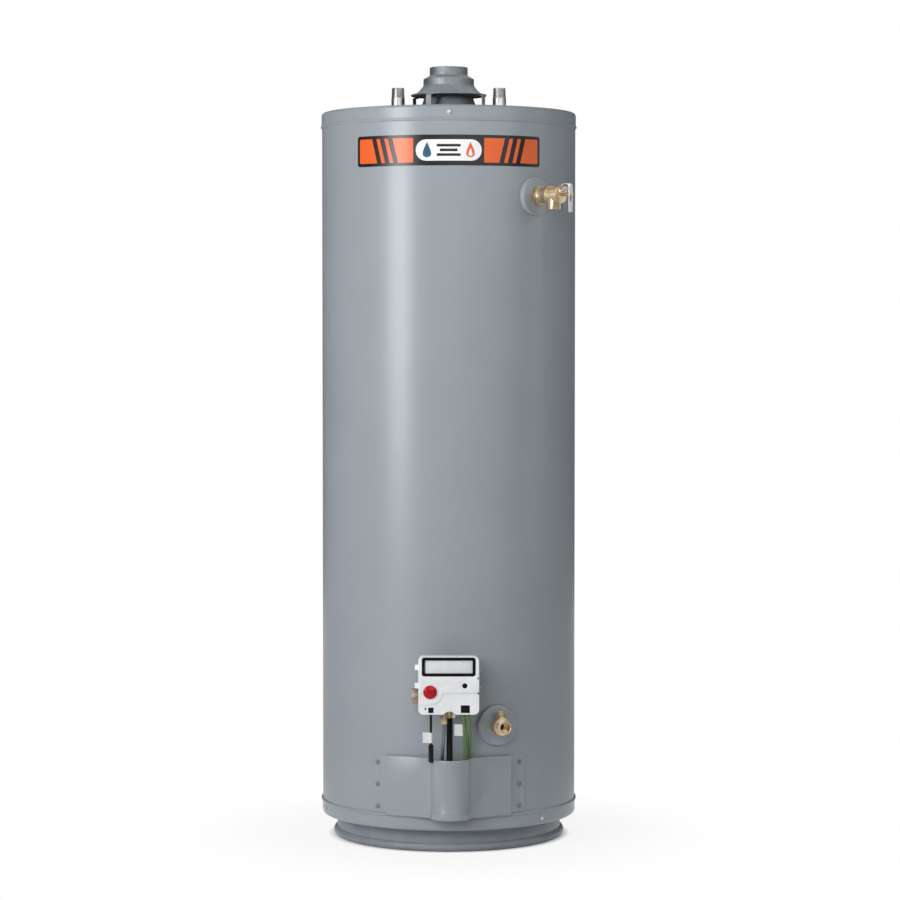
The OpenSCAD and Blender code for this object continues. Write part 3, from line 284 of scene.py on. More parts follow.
# control's body: die-cast aluminium, grey, grained and slightly mottled
cast_aluminium = metal("die_cast_aluminium", "8d9092", 0.48)
mottle(cast_aluminium, 10, 4, "808386", "999c9e")
emboss(cast_aluminium, noise_field(cast_aluminium, 0.8, 2), 0.03, 0.5)

# pilot tube: drawn aluminium, with long faint streaks along it; its colour is painted much darker than bare
# aluminium, as the shade under the control
shaded_aluminium = metal("aluminium_pilot_tube_in_painted_shade", "7f8386", 0.42)
vary_gloss(shaded_aluminium, noise_field(shaded_aluminium, 4, 3, (1, 1, 0.1)), 0.36, 0.5)

# anode rod: cast magnesium, pale and matt
magnesium = metal("cast_magnesium", "b9bab8", 0.6)
mottle(magnesium, 8, 4, "a9aaa8", "c6c7c5")
print("ten white and grey metals")

# %% brass and copper
# valves and tube nuts: cast brass, machined and pale yellow, with a grainy skin
cast_brass = metal("cast_brass", "e2cba7", 0.32)
mottle(cast_brass, 7, 5, "d6be97", "eddab9")
vary_gloss(cast_brass, noise_field(cast_brass, 5, 3), 0.27, 0.37)
emboss(cast_brass, noise_field(cast_brass, 2.5, 2), 0.01, 0.25)

# gas inlet: brass that has tarnished to a greyish brown
dull_brass = metal("tarnished_brass", "a59687", 0.5)
mottle(dull_brass, 4, 4, "978676", "b5a697")

# relief valve's probe: drawn copper tube, warm and fairly bright
drawn_copper = metal("drawn_copper", "b87a4b", 0.32)
mottle(drawn_copper, 10, 4, "a56a3e", "c88a5b")
print("two brasses and copper")

# %% [markdown]
# ## Plastics, rubber, insulation and paper
# The control's covers are moulded ABS with a fine spark-eroded texture, about 0.4 mm from peak to
# peak. It is drawn at 1 mm, because anything finer is lost at this distance. The igniter button
# is ABS from a polished tool. The thermopile leads wear braided glass sleeving.

# %% moulded plastics
# covers and button ring: white ABS with a fine texture that spreads its shine
white_abs = finish_of("moulded_white_abs", "e7e8ea", Roughness=0.42, Specular_IOR_Level=0.4, IOR=1.5)
mottle(white_abs, 25, 3, "e4e5e8", "ebecee")
emboss(white_abs, noise_field(white_abs, 1, 2), 0.02, 0.4)

# face plate of the control: printed polycarbonate film, pale and fairly glossy
face_film = finish_of("printed_face_film", "dadbde", Roughness=0.25, IOR=1.5)
mottle(face_film, 12, 2, "d6d7da", "dfe0e2")

# bezel and status lens: black ABS from a polished tool
polished_black = finish_of("polished_black_abs", "121315", Roughness=0.3, Specular_IOR_Level=0.12, IOR=1.5)
vary_gloss(polished_black, noise_field(polished_black, 8, 2), 0.26, 0.34)

# igniter button: glossy red ABS with a crisp highlight
polished_red = finish_of("polished_red_abs", "ae0f1b", Roughness=0.2, Specular_IOR_Level=0.3, IOR=1.5)
mottle(polished_red, 15, 2, "a50c17", "b51320")

# plug, connector and small sockets: black nylon, textured and matt
plug_nylon = finish_of("moulded_black_nylon", "111213", Roughness=0.55, Specular_IOR_Level=0.12)
emboss(plug_nylon, noise_field(plug_nylon, 0.8, 2), 0.03, 0.5)

# dip tube: extruded polypropylene, milky and waxy
dip_tube_plastic = finish_of("extruded_polypropylene", "e9e7df", Roughness=0.45)
mottle(dip_tube_plastic, 30, 2, "e4e2d9", "eeece5")

# grommets and drain plunger: moulded rubber, charcoal and matt
black_rubber = finish_of("moulded_black_rubber", "252627", Roughness=0.62, Specular_IOR_Level=0.3)
mottle(black_rubber, 6, 4, "1f2021", "2d2e2f")
emboss(black_rubber, noise_field(black_rubber, 1, 3), 0.03, 0.6)
print("seven plastics and rubber")

# %% braid, insulation, foam and paper
WAVE_REPEATS = 3.2  # a wave texture of scale 1 draws about this many bands per metre
THREAD_SLANT = 0.9


def braid(material, pitch_mm, height_mm):
    """Embosses two sets of slanted threads that cross, and returns them as a field."""
    tree = material.node_tree
    bands = []
    for slant in (THREAD_SLANT, -THREAD_SLANT):
        turned_by = {"Vector": object_space(tree), "Rotation": (0, slant, 0)}
        place = add_node(tree, "ShaderNodeMapping", turned_by)
        settings = {"Vector": place.outputs[0], "Scale": 1 / (pitch_mm * MM * WAVE_REPEATS)}
        bands.append(add_node(tree, "ShaderNodeTexWave", settings, bands_direction="Z").outputs["Fac"])
    crossing = add_node(tree, "ShaderNodeMath", {0: bands[0], 1: bands[1]}, operation="MAXIMUM").outputs[0]
    emboss(material, crossing, height_mm)
    return crossing


# thermopile leads: green glass braid, dull, with threads 1.6 mm apart; the colour follows the weave's
# height, darker in the grooves between threads as painted shade
green_braid = finish_of("green_glass_braid", "4f6a41", Roughness=0.5, Specular_IOR_Level=0.3)
threads = braid(green_braid, 1.6, 0.25)
vary_colour(green_braid, threads, "38502e", "6b8757", 0.2, 0.9)

# igniter lead and its sleeve: extruded silicone rubber, black with a dim sheen
black_insulation = finish_of("black_wire_insulation", "101011", Roughness=0.45, Specular_IOR_Level=0.15)
vary_gloss(black_insulation, noise_field(black_insulation, 6, 2), 0.4, 0.52)

# insulation: polyurethane foam blown between tank and jacket, straw yellow and matt
sprayed_foam = finish_of("sprayed_polyurethane_foam", "e5d9a8", Roughness=0.85)
mottle(sprayed_foam, 4, 5, "d9cb93", "eee4bd")

# lead tags, and the decal's own stock: coated paper, near white and matt
tag_paper = finish_of("coated_tag_paper", "dfe0e1", Roughness=0.6, Specular_IOR_Level=0.3)
mottle(tag_paper, 5, 4, "d9dada", "e6e7e8")

# inner door's gasket: felted glass fibre, cream and quite matt
glass_felt = finish_of("glass_fibre_gasket", "c9c4b4", Roughness=0.9)
mottle(glass_felt, 3, 5, "bcb6a4", "d6d1c3")
print("five soft finishes")

# %% [markdown]
# ## Dressing the CAD parts
# The record says which slot each CAD node takes its finish from. One table turns a slot into a
# material, and every node gets it, also those that a finer piece hides later. Three nodes look
# duller or brighter than others of their slot, and have a finish of their own.

# %% slots to materials
finish_for = {
    "jacket_paint": baked_enamel, "base_paint": shaded_base_enamel, "foam": sprayed_foam, "label": tag_paper,
    "galvanised": galvanised_sheet, "steel": bright_steel, "dark_steel": mill_steel,
    "tank_steel": glass_lined_steel, "pipe_zinc": plated_pipe, "rubber": black_rubber,
    "dip_plastic": dip_tube_plastic, "magnesium": magnesium, "brass": cast_brass, "copper": drawn_copper,
    "cover_white": white_abs, "gloss_black": polished_black, "face_grey": face_film,
    "button_red": polished_red, "cast_body": cast_aluminium, "plug_black": plug_nylon,
    "tube_black": black_enamel, "tube_aluminium": shaded_aluminium, "lead_black": black_insulation,
    "lead_green": green_braid, "tag_paper": tag_paper, "gasket_fibre": glass_felt,
    "burner_steel": burner_sheet,
}
own_finish = {"tp_lever": lever_steel, "gas_inlet_fitting": dull_brass, "door_screws": screw_steel}
slot_of = {row["node"]: row["material_slot"] for row in frame["record"]["subparts"]}
bodies = frame["record"]["behaviour"]["bodies"]
body_of = {node: body for body, members in bodies.items() for node in members}
for node, cad_object in frame["nodes"].items():
    cad_object.data.materials.clear()
    cad_object.data.materials.append(own_finish.get(node, finish_for[slot_of[node]]))
print(len(slot_of), "nodes dressed in", len(finish_for), "finishes")

# %% [markdown]
# ## From numbers to meshes
# Most pieces here are turned, folded or drawn, so a few shape functions cover nearly all of them.
# They work in millimetres, and the piece is scaled to metres at the end. A lathe turns an outline
# round the z axis, an extrusion pushes one along it, and a path with a thickness is a folded sheet.
# Corners of a path take a bend radius, because sheet metal never folds to a knife edge. Blender's
# Screw, Solidify and Bevel modifiers could do much of this. Functions keep each size in one place
# and leave no modifier to apply.

# %% outlines
def rounded_path(corners):
    """An open path of (x, y, bend radius) corners, each bend drawn as an arc."""
    path = []
    for i, (x, y, radius) in enumerate(corners):
        corner = Vector((x, y))
        if not radius or i in (0, len(corners) - 1):
            path.append(corner)
            continue
        back = (Vector(corners[i - 1][:2]) - corner).normalized()
        ahead = (Vector(corners[i + 1][:2]) - corner).normalized()
        half = back.angle(ahead) / 2
        middle = corner + (back + ahead).normalized() * radius / math.sin(half)
        spoke = corner + back * radius / math.tan(half) - middle
        last = corner + ahead * radius / math.tan(half) - middle
        turn = math.atan2(spoke.cross(last), spoke.dot(last))
        steps = max(2, round(abs(turn) / math.radians(15)))
        path += [middle + Matrix.Rotation(turn * k / steps, 2) @ spoke for k in range(steps + 1)]
    return path


def arc(x, y, radius, start, end, steps=8):
    """Points on a circle from one angle to another, in degrees."""
    angles = [math.radians(start + (end - start) * k / steps) for k in range(steps + 1)]
    return [Vector((x + radius * math.cos(a), y + radius * math.sin(a))) for a in angles]


def sheet_outline(path, thickness):
    """A closed outline: the path, and back along it one thickness to its left."""
    ways = [(b - a).normalized() for a, b in zip(path, path[1:])]
    other = []
    for i, point in enumerate(path):
        before, after = ways[max(i - 1, 0)], ways[min(i, len(ways) - 1)]
        side = (before + after).normalized().orthogonal()
        other.append(point + side * thickness / max(0.4, side.dot(before.orthogonal())))
    return path + other[::-1]


def rounded_box(width, height, radius, x=0.0, y=0.0):
    """A closed rectangle with round corners."""
    w, h = width / 2 - radius, height / 2 - radius
    outline = []
    for cx, cy, start in ((w, h, 0), (-w, h, 90), (-w, -h, 180), (w, -h, 270)):
        outline += arc(x + cx, y + cy, radius, start, start + 90, 6)
    return outline


print("a rounded box has", len(rounded_box(10, 8, 2)), "points")

# %% solids
def turned(outline, sides=96, thread=None):
    """Turns a closed (radius, height) outline round z; thread says how deep it is cut at a point."""
    bm = bmesh.new()
    rings = []
    for radius, height in outline:
        ring = []
        for i in range(sides):
            a = 2 * math.pi * i / sides
            r = radius - (thread(radius, height, a) if thread else 0)
            ring.append(bm.verts.new((r * math.cos(a), r * math.sin(a), height)))
        rings.append(ring)
    for low, high in zip(rings, rings[1:] + rings[:1]):
        for i in range(sides):
            k = (i + 1) % sides
            bm.faces.new((low[i], low[k], high[k], high[i]))
    bmesh.ops.remove_doubles(bm, verts=bm.verts, dist=1e-4)
    return bm


def extruded(outline, low, high):
    """Pushes a closed outline along z from low to high."""
    bm = bmesh.new()
    bottom = [bm.verts.new((x, y, low)) for x, y in outline]
    top = [bm.verts.new((x, y, high)) for x, y in outline]
    bm.faces.new(bottom[::-1])
    bm.faces.new(top)
    for i in range(len(outline)):
        k = (i + 1) % len(outline)
        bm.faces.new((bottom[i], bottom[k], top[k], top[i]))
    return bm


def smooth_route(points, step_mm):
    """A Catmull-Rom curve through the points, sampled about every step_mm."""
    spots = [Vector(p) for p in points]
    spots = [2 * spots[0] - spots[1]] + spots + [2 * spots[-1] - spots[-2]]
    route = []
    for a, b, c, d in zip(spots, spots[1:], spots[2:], spots[3:]):
        count = max(1, round((c - b).length / step_mm))
        for k in range(count):
            t = k / count
            route.append(0.5 * (2 * b + (c - a) * t + (2 * a - 5 * b + 4 * c - d) * t * t
                                + (3 * b - 3 * c + d - a) * t ** 3))
    return route + [spots[-2]]


def wire(points, radius, sides=16, step_mm=4.0):
    """A round wire that follows the points; its rings are carried along without twisting."""
    route = smooth_route(points, step_mm)
    bm = bmesh.new()
    along = (route[1] - route[0]).normalized()
    side = along.orthogonal().normalized()
    rings = []
    for i, spot in enumerate(route):
        ahead = (route[min(i + 1, len(route) - 1)] - route[max(i - 1, 0)]).normalized()
        side = along.rotation_difference(ahead) @ side
        along = ahead
        up = along.cross(side)
        rings.append([bm.verts.new(spot + radius * (math.cos(a) * side + math.sin(a) * up))
                      for a in (2 * math.pi * k / sides for k in range(sides))])
    for low, high in zip(rings, rings[1:]):
        for i in range(sides):
            k = (i + 1) % sides
            bm.faces.new((low[i], low[k], high[k], high[i]))
    bm.faces.new(rings[0][::-1])
    bm.faces.new(rings[-1])
    return bm


def merged(*parts):
    """Several solids in one mesh."""
    whole = bmesh.new()
    for part in parts:
        scrap = bpy.data.meshes.new("scrap")
        part.to_mesh(scrap)
        part.free()
        whole.from_mesh(scrap)
        bpy.data.meshes.remove(scrap)
    return whole


def moved(bm, place):
    """The same mesh, moved by a matrix."""
    bmesh.ops.transform(bm, matrix=place, verts=bm.verts)
    return bm


def eased(bm, width_mm, segments=2):
    """Rounds over every edge that is sharper than 35 degrees."""
    sharp = [e for e in bm.edges if e.is_manifold and e.calc_face_angle() > math.radians(35)]
    bmesh.ops.bevel(bm, geom=sharp, offset=width_mm, segments=segments, profile=0.5, affect="EDGES",
                    clamp_overlap=True)
    return bm


print("one turn of a test ring has", len(turned([(5, 0), (6, 0), (6, 1), (5, 1)]).faces), "faces")

# %% [markdown]
# ## Showing a piece
# A finished piece is smooth except at its real edges, rides on the body of the CAD node it belongs
# to, and takes that node's finish. Where it stands for the node, the node stays in the physics model
# and only its picture goes.
# Many castings and mouldings are already right in the CAD model but for their knife-sharp edges. A
# copy of such a node gets its triangles joined into flat faces, and then a small bevel.

# %% showing pieces
shown = []


def show(name, bm, node, place=TO_METRES, finish=None, replaces=()):
    """Makes a piece from a bmesh in local millimetres and puts it on its node's body."""
    mesh = bpy.data.meshes.new(name)
    bmesh.ops.recalc_face_normals(bm, faces=bm.faces)
    bm.to_mesh(mesh)
    bm.free()
    mesh.transform(place)
    custom = mesh.attributes.get("custom_normal")  # the CAD's own, wrong for eased edges
    if custom:
        mesh.attributes.remove(custom)
    mesh.shade_smooth()
    mesh.set_sharp_from_angle(angle=math.radians(38))
    mesh.materials.append(finish or own_finish.get(node, finish_for[slot_of[node]]))
    made = bpy.data.objects.new(name, mesh)
    scene.collection.objects.link(made)
    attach(made, body_of[node])
    if replaces:
        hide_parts(*replaces)
    shown.append(name)


def softened(node, name, width_mm):
    """Shows a copy of a CAD node with its edges eased."""
    bm = bmesh.new()
    bm.from_mesh(frame["nodes"][node].data)
    moved(bm, TO_METRES.inverted())
    bmesh.ops.remove_doubles(bm, verts=bm.verts, dist=0.005)
    bmesh.ops.dissolve_limit(bm, angle_limit=math.radians(0.6), verts=bm.verts, edges=bm.edges)
    before = len(bm.faces)
    eased(bm, width_mm)
    print(name, "from", before, "to", len(bm.faces), "faces")
    show(name, bm, node, replaces=[node])


# %% [markdown]
# ## Draft hood
# The hood is spun from galvanised sheet: a flared skirt with a curled rim, a step, a short cone and
# the vent collar. The two curls stiffen the free edges, and they are what catches the light. Cones
# and cylinders could be stacked up, but one turned outline, 0.8 mm thick, keeps the sheet's even
# thickness and its round bends. Four legs, each a bent strap with a riveted foot, carry the hood.

# %% draft hood
rim_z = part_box("draft_hood")[0].z / MM
hood_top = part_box("draft_hood")[1].z / MM
skirt_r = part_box("draft_hood")[1].x / MM
step_r, collar_r = 50.8, 38.1  # a four inch step and a three inch collar
hood_sheet, rim_curl, collar_curl, bend = 0.8, 1.6, 1.5, 2.5
step_foot, step_top, cone_top = rim_z + 21, rim_z + 34, rim_z + 41
flare_rise = 17.8
flare = []
for k in range(11):
    s = k / 10
    flare.append((skirt_r - rim_curl + (step_r - skirt_r + rim_curl) * s,
                  rim_z + 2 * rim_curl + flare_rise * s * s, 0))
shoulder = rounded_path(flare[:-1] + [(step_r, step_foot, bend), (step_r, step_top, bend),
                                      (collar_r, cone_top, bend), (collar_r, hood_top - collar_curl, 0)])
hood_path = (arc(skirt_r - rim_curl, rim_z + rim_curl, rim_curl, 180, 435, 14) + shoulder[1:]
             + arc(collar_r - collar_curl, hood_top - collar_curl, collar_curl, 15, 180, 8))
hood_outline = sheet_outline(hood_path, hood_sheet)
show("spun_draft_hood", turned(hood_outline, 128), "draft_hood", replaces=["draft_hood"])
print("hood outline has", len(hood_path), "points on its outside")

# %% hood legs
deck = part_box("draft_hood_legs")[0].z / MM
leg_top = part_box("draft_hood_legs")[1].z / MM
leg_sheet, leg_half_width, rivet_r = 1.5, 6, 87.5
under_hood, shank_r, foot_r = 72.5, 79, 93  # how far out the strap starts, runs down and ends
strap_top, strap_foot = leg_top - 1.6, deck + 0.1
strap = sheet_outline(rounded_path([(under_hood, strap_top, 0), (shank_r, strap_top, 1.2),
                                    (shank_r, strap_foot, 2.4), (foot_r, strap_foot, 0)]), leg_sheet)
leg_angles = (60, 150, 240, 330)
legs = []
for degrees in leg_angles:
    leg = moved(extruded(strap, -leg_half_width, leg_half_width), Matrix.Rotation(math.pi / 2, 4, "X"))
    eased(leg, 0.3, 1)
    head = turned([(0, 0), (3.4, 0), (3.4, 0.9), (2.7, 1.8), (1.4, 2.2), (0, 2.3)], 20)
    moved(head, Matrix.Translation((rivet_r, 0, strap_foot + leg_sheet)))
    legs.append(moved(merged(leg, head), Matrix.Rotation(math.radians(degrees), 4, "Z")))
show("bent_hood_legs", merged(*legs), "draft_hood_legs", replaces=["draft_hood_legs"])
print("leg height", round(leg_top - deck, 1), "mm")

# %% [markdown]
# ## Pipe nipples
# Three-quarter inch pipe has 14 threads to the inch, cut on a taper of 1 in 32 on each side. The
# thread is real geometry: the lathe lowers the surface along a helix, a turn every 1.814 mm, and
# fades in where the die ran out. A bump map would be lighter, but the outline would stay smooth.

# %% nipples
pitch = 25.4 / 14
pipe_r, pipe_bore_r, chamfer = 13.35, 10.45, 0.6
thread_length, thread_depth, die_runout, taper = 21, 0.8, 4, 1 / 32
wall_middle = 12  # an outline's points nearer the axis than this belong to the bore
for node, name in (("cold_water_nipple", "cold_pipe_nipple"), ("hot_water_nipple", "hot_pipe_nipple")):
    low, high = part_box(node)
    foot, tip = low.z / MM, high.z / MM
    cut_from = tip - thread_length

    def pipe_thread(radius, height, angle):
        """How deep the die cuts; the bore is left alone."""
        if radius < wall_middle or height < cut_from:
            return 0
        wave = abs(2 * ((height / pitch - angle / (2 * math.pi)) % 1) - 1)
        fade = min(1, (height - cut_from) / die_runout)
        return (height - cut_from) * taper + fade * thread_depth * min(1, 1.5 * wave)

    rows = [cut_from + k * pitch / 8 for k in range(int((tip - chamfer - cut_from) * 8 / pitch))]
    outline = [(pipe_bore_r, foot), (pipe_r, foot)] + [(pipe_r, z) for z in rows]
    outline += [(13.1, tip - chamfer), (12.9, tip), (10.9, tip), (pipe_bore_r, tip - chamfer)]
    nipple = moved(turned(outline, 64, pipe_thread), Matrix.Translation((centre(node).x / MM, 0, 0)))
    show(name, nipple, node, replaces=[node])
print("thread pitch", round(pitch, 3), "mm")

# %% [markdown]
# ## Rating band
# The band on the front is a printed film. Here it carries a plain design of its own: an orange field
# in a black border, a pale plate with a drop and a flame for water and gas, and slanted bars. Each
# colour is a thin layer of its own that is drawn flat and then wrapped round the jacket. An image
# on one sheet would be quicker, but layers keep their edges sharp from close by. Printed vinyl film
# is smooth and fairly glossy, and ripples a little over the sheet under it.

# %% wrapping a flat layer round the jacket
def wrapped(bm, step_mm=6.0):
    """Bends a flat layer: x goes round the jacket, y up, z out."""
    xs = [v.co.x for v in bm.verts]
    cut = math.ceil(min(xs) / step_mm) * step_mm
    while cut < max(xs):
        bmesh.ops.bisect_plane(bm, geom=bm.verts[:] + bm.edges[:] + bm.faces[:], dist=1e-4,
                               plane_co=(cut, 0, 0), plane_no=(1, 0, 0))
        cut += step_mm
    for v in bm.verts:
        angle, radius = v.co.x / jacket_radius, jacket_radius + v.co.z
        v.co = Vector((radius * math.sin(angle), -radius * math.cos(angle), v.co.y))
    return bm


def film(name, chart):
    """Printed vinyl film in one ink."""
    made = finish_of(name, chart, Roughness=0.3, Specular_IOR_Level=0.45)
    emboss(made, noise_field(made, 4, 2), 0.006, 0.5)
    return made


black_film, orange_film = film("black_printed_film", "17171a"), film("orange_printed_film", "e66226")
pale_film, blue_film = film("pale_printed_film", "f2f3f4"), film("blue_printed_film", "2f5f7a")
mottle(black_film, 30, 2, "151518", "1b1b1e")
mottle(orange_film, 60, 2, "e45f22", "e9652a")
mottle(pale_film, 40, 2, "eff0f1", "f5f5f6")
mottle(blue_film, 20, 2, "2b5a75", "336480")
print("four films")

# %% rating band
band_z = centre("front_label").z / MM
half_band = 0.5 * (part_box("front_label")[1].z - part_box("front_label")[0].z) / MM
reach = math.radians(44) * jacket_radius
border, film_thickness = 6, 0.15


def drop_outline(x, y, radius, height):
    """A drop: a round foot and a pointed top."""
    curve = arc(x, y, radius, 200, 340, 14)
    tip = Vector((x, y + height))
    lead_in = [curve[-1].lerp(tip, t) + Vector((radius * 0.28 * math.sin(math.pi * t) * (1 - t), 0))
               for t in (0.25, 0.5, 0.75)]
    lead_out = [Vector((2 * x - p.x, p.y)) for p in reversed(lead_in)]
    return curve + lead_in + [tip] + lead_out


def slanted_bar(x, side):
    """A bar 10 mm wide that leans outwards from foot to head."""
    foot, head = x + side * 9, x + side * 21
    low, high = border - half_band, half_band - border
    return [Vector((foot - 5, low)), Vector((foot + 5, low)),
            Vector((head + 5, high)), Vector((head - 5, high))]


bars = [slanted_bar(side * x, side) for side in (-1, 1) for x in (96, 114, 132)]
ticks = [rounded_box(width, 5, 1.2, 0, y) for width, y in ((46, 9), (34, 0), (46, -9))]
layers = [  # name, ink, how far its back stands off the jacket, outlines
    ("band_border", black_film, 0.05, [rounded_box(2 * reach, 2 * half_band, 5)]),
    ("band_field", orange_film, 0.1, [rounded_box(2 * reach - 2 * border, 2 * half_band - 2 * border, 3)]),
    ("band_bars", black_film, 0.15, bars + [rounded_box(138, 2 * half_band - 8, 2)]),
    ("band_plate", pale_film, 0.2, [rounded_box(128, 41, 20)]),
    ("band_drop", blue_film, 0.25, [drop_outline(-42, -5, 9, 21)]),
    ("band_flame", orange_film, 0.25, [drop_outline(42, -5, 9, 21)]),
    ("band_ticks", black_film, 0.25, ticks),
    ("band_flame_heart", pale_film, 0.3, [drop_outline(42, -7, 4.2, 11)]),
]
for name, finish, stand, outlines in layers:
    flat = [moved(extruded(outline, stand, stand + film_thickness), Matrix.Translation((0, band_z, 0)))
            for outline in outlines]
    show(name, merged(*[wrapped(sheet) for sheet in flat]), "front_label", finish=finish,
         replaces=["front_label"] if name == "band_border" else ())
print("the band has", len(layers), "layers")

# %% [markdown]
# ## Valves
# The relief valve and the drain valve are sand-cast brass, so their bodies have soft edges of more
# than half a millimetre. Their trim rings are pressed sheet, painted like the jacket. The CAD solids
# already fit one another, so they aren't drawn again: only their edges are eased.

# %% relief and drain valves
valve_edges = (  # node, name of the finer piece, how wide its edges are eased
    ("tp_valve_body", "relief_valve_casting", 0.7), ("tp_bonnet", "relief_bonnet", 0.3),
    ("tp_lever", "relief_lever_strap", 0.35), ("tp_stem", "relief_stem_turned", 0.4),
    ("tp_lever_pin", "relief_lever_rivet", 0.3), ("tp_escutcheon", "relief_trim_ring", 0.3),
    ("drain_escutcheon", "drain_trim_ring", 0.3), ("drain_stem", "drain_stem_turned", 0.5),
)
for node, name, width in valve_edges:
    softened(node, name, width)

# %% [markdown]
# A hose thread is coarse: 11.5 threads to the inch, 2.2 mm apart and rounded, and shows in outline.
# The drain casting is cut off at its shoulder and the threaded end is turned as a new piece, as the
# nipples are.

# %% drain casting
casting_end = 29.3  # how far it stands out of the jacket
casting = bmesh.new()
casting.from_mesh(frame["nodes"]["drain_valve_body"].data)
moved(casting, drain_place.inverted())
bmesh.ops.remove_doubles(casting, verts=casting.verts, dist=0.005)
cut = bmesh.ops.bisect_plane(casting, geom=casting.verts[:] + casting.edges[:] + casting.faces[:],
                             dist=1e-3, plane_co=(0, 0, casting_end), plane_no=(0, 0, 1), clear_outer=True)
rim = [e for e in cut["geom_cut"] if isinstance(e, bmesh.types.BMEdge)]
bmesh.ops.triangle_fill(casting, edges=rim, use_beauty=True)
bmesh.ops.dissolve_limit(casting, angle_limit=math.radians(0.6), verts=casting.verts, edges=casting.edges)
eased(casting, 0.6)
show("drain_valve_casting", casting, "drain_valve_body", drain_place, replaces=["drain_valve_body"])
print("casting cut off", casting_end, "mm out of the jacket")

# %% hose thread
hose_pitch = 25.4 / 11.5
hose_r, hose_bore_r, hose_thread_depth = 13.25, 10, 1.15
hose_back, hose_lip, hose_end = 29.2, 44.4, 45  # heights above the jacket
thread_from, thread_to = 30, 45.2


def hose_thread(radius, height, angle):
    """How deep the rounded thread is cut; it fades out at both ends."""
    if radius < wall_middle or height < thread_from:
        return 0
    wave = (height / hose_pitch - angle / (2 * math.pi)) % 1
    fade = min(1, (height - thread_from) / 3) * min(1, (thread_to - height) / 1.5)
    return hose_thread_depth * fade * (0.5 + 0.5 * math.cos(2 * math.pi * wave)) ** 1.4


rows = [hose_back + k * hose_pitch / 10 for k in range(int((hose_lip - hose_back) * 10 / hose_pitch))]
outline = [(hose_bore_r, hose_back)] + [(hose_r, z) for z in rows]
outline += [(12.9, 44.6), (12.4, hose_end), (10.6, hose_end), (hose_bore_r, hose_lip)]
show("drain_hose_thread", turned(outline, 72, hose_thread), "drain_valve_body", drain_place)
print("hose thread pitch", round(hose_pitch, 2), "mm")

# %% [markdown]
# ## Gas control
# Two white mouldings meet along a stepped parting line in front of a die-cast body. Mouldings have
# round edges so that they leave their tool and feel kind to the hand: about a millimetre on the
# covers and the button, less on the small trim. The holes of the latches and the test socket are
# too small to look into, so each is a thin dark piece set in the covers' faces: painted shade in
# place of the hole.

# %% control
control_edges = (  # node, name of the finer piece, how wide its edges are eased
    ("control_upper_cover", "upper_cover_moulding", 1.1),
    ("control_lower_cover", "lower_cover_moulding", 0.9),
    ("control_bezel", "bezel_moulding", 0.5), ("control_faceplate", "faceplate_moulding", 0.3),
    ("igniter_button", "button_moulding", 1.4), ("igniter_ring", "ring_moulding", 0.4),
    ("status_lens", "lens_moulding", 0.3), ("igniter_plug", "igniter_plug_moulding", 0.6),
    ("thermopile_connector", "connector_moulding", 0.6), ("control_body", "control_casting", 0.8),
    ("gas_inlet_fitting", "inlet_nut", 0.8), ("burner_outlet_fitting", "outlet_nuts", 0.7),
    ("pilot_outlet_fitting", "pilot_nut", 0.5),
)
for node, name, width in control_edges:
    softened(node, name, width)

# %% painted shade in the latch holes and the test socket, each from its back to its face, out of the jacket
latches = [extruded(rounded_box(2.4, 4.2, 1.1, x, y), 84.8, 85.15)
           for x, y in ((55.8, 12.4), (56.4, -16.2))]
show("latch_slot_shade", merged(*latches), "control_upper_cover", control_place, finish=plug_nylon)
show("test_socket_shade", extruded(rounded_box(2.8, 4.2, 0.5, -44.2, -46.1), 83, 84.7), "control_lower_cover",
     control_place, finish=plug_nylon)
print("two latches and a socket, in the control's own frame")

# %% [markdown]
# ## Tubes and leads
# The leads run from the control down behind the outer door to the burner. Each is a smooth wire
# through the same points, in millimetres, as its CAD tube. The igniter lead goes through a rubber
# sleeve where it passes the door's edge, and the two thermopile leads wear green braid. A bevelled
# curve object would do as well; the rings of these wires are set in code, so each end is closed and
# the number of faces is known.

# %% routes of the tubes and leads
igniter_top = [
    (-33.9, -330, 286.1), (-34, -327, 270), (-34, -321, 252), (-34, -318, 238), (-34, -316, 222)]
igniter_sleeve = [
    (-34, -316, 222), (-34, -315, 214), (-34, -310, 207), (-34, -300, 198), (-34, -285, 190),
    (-34, -268.5, 186.5)]
igniter_foot = [
    (-34, -268.5, 186.5), (-34, -263, 185.3), (-34, -258.5, 180), (-34, -257, 170), (-33, -256, 156),
    (-31, -250, 138), (-29, -238, 123), (-28, -222, 118), (-28, -190, 118), (-27, -150, 119),
    (-27, -117, 119.5), (-27, -109, 124), (-27, -109, 131)]
green_lead_left = [
    (27.5, -330, 286.1), (29, -328, 270), (31, -318, 245), (31.5, -302, 218), (31.5, -285, 194),
    (31.5, -279, 170), (30, -272, 146), (25, -254, 126), (22, -228, 118), (22, -190, 118),
    (22, -150, 119), (21.5, -117, 119.5), (21.5, -109, 124), (21.5, -109, 131)]
green_lead_right = [
    (36, -330, 286.1), (38, -328, 270), (40, -316, 245), (40, -297, 219), (40, -274, 201),
    (40, -262, 184), (39, -259.5, 162), (37, -254, 140), (34, -240, 123), (32, -225, 118),
    (32, -190, 118), (31, -150, 119), (30.5, -117, 119.5), (30.5, -109, 124), (30.5, -109, 131)]
pilot_route = [
    (-9, -308, 275), (-9, -308, 250), (-10, -303, 228), (-12, -290, 205), (-13, -284, 180),
    (-13.5, -280, 156), (-14, -270, 135), (-14, -250, 121), (-14, -226, 118), (-14, -190, 118),
    (-18, -150, 118), (-18, -117, 118), (-18, -109, 124), (-18, -109, 131)]
print("the pilot tube's route has", len(pilot_route), "points")

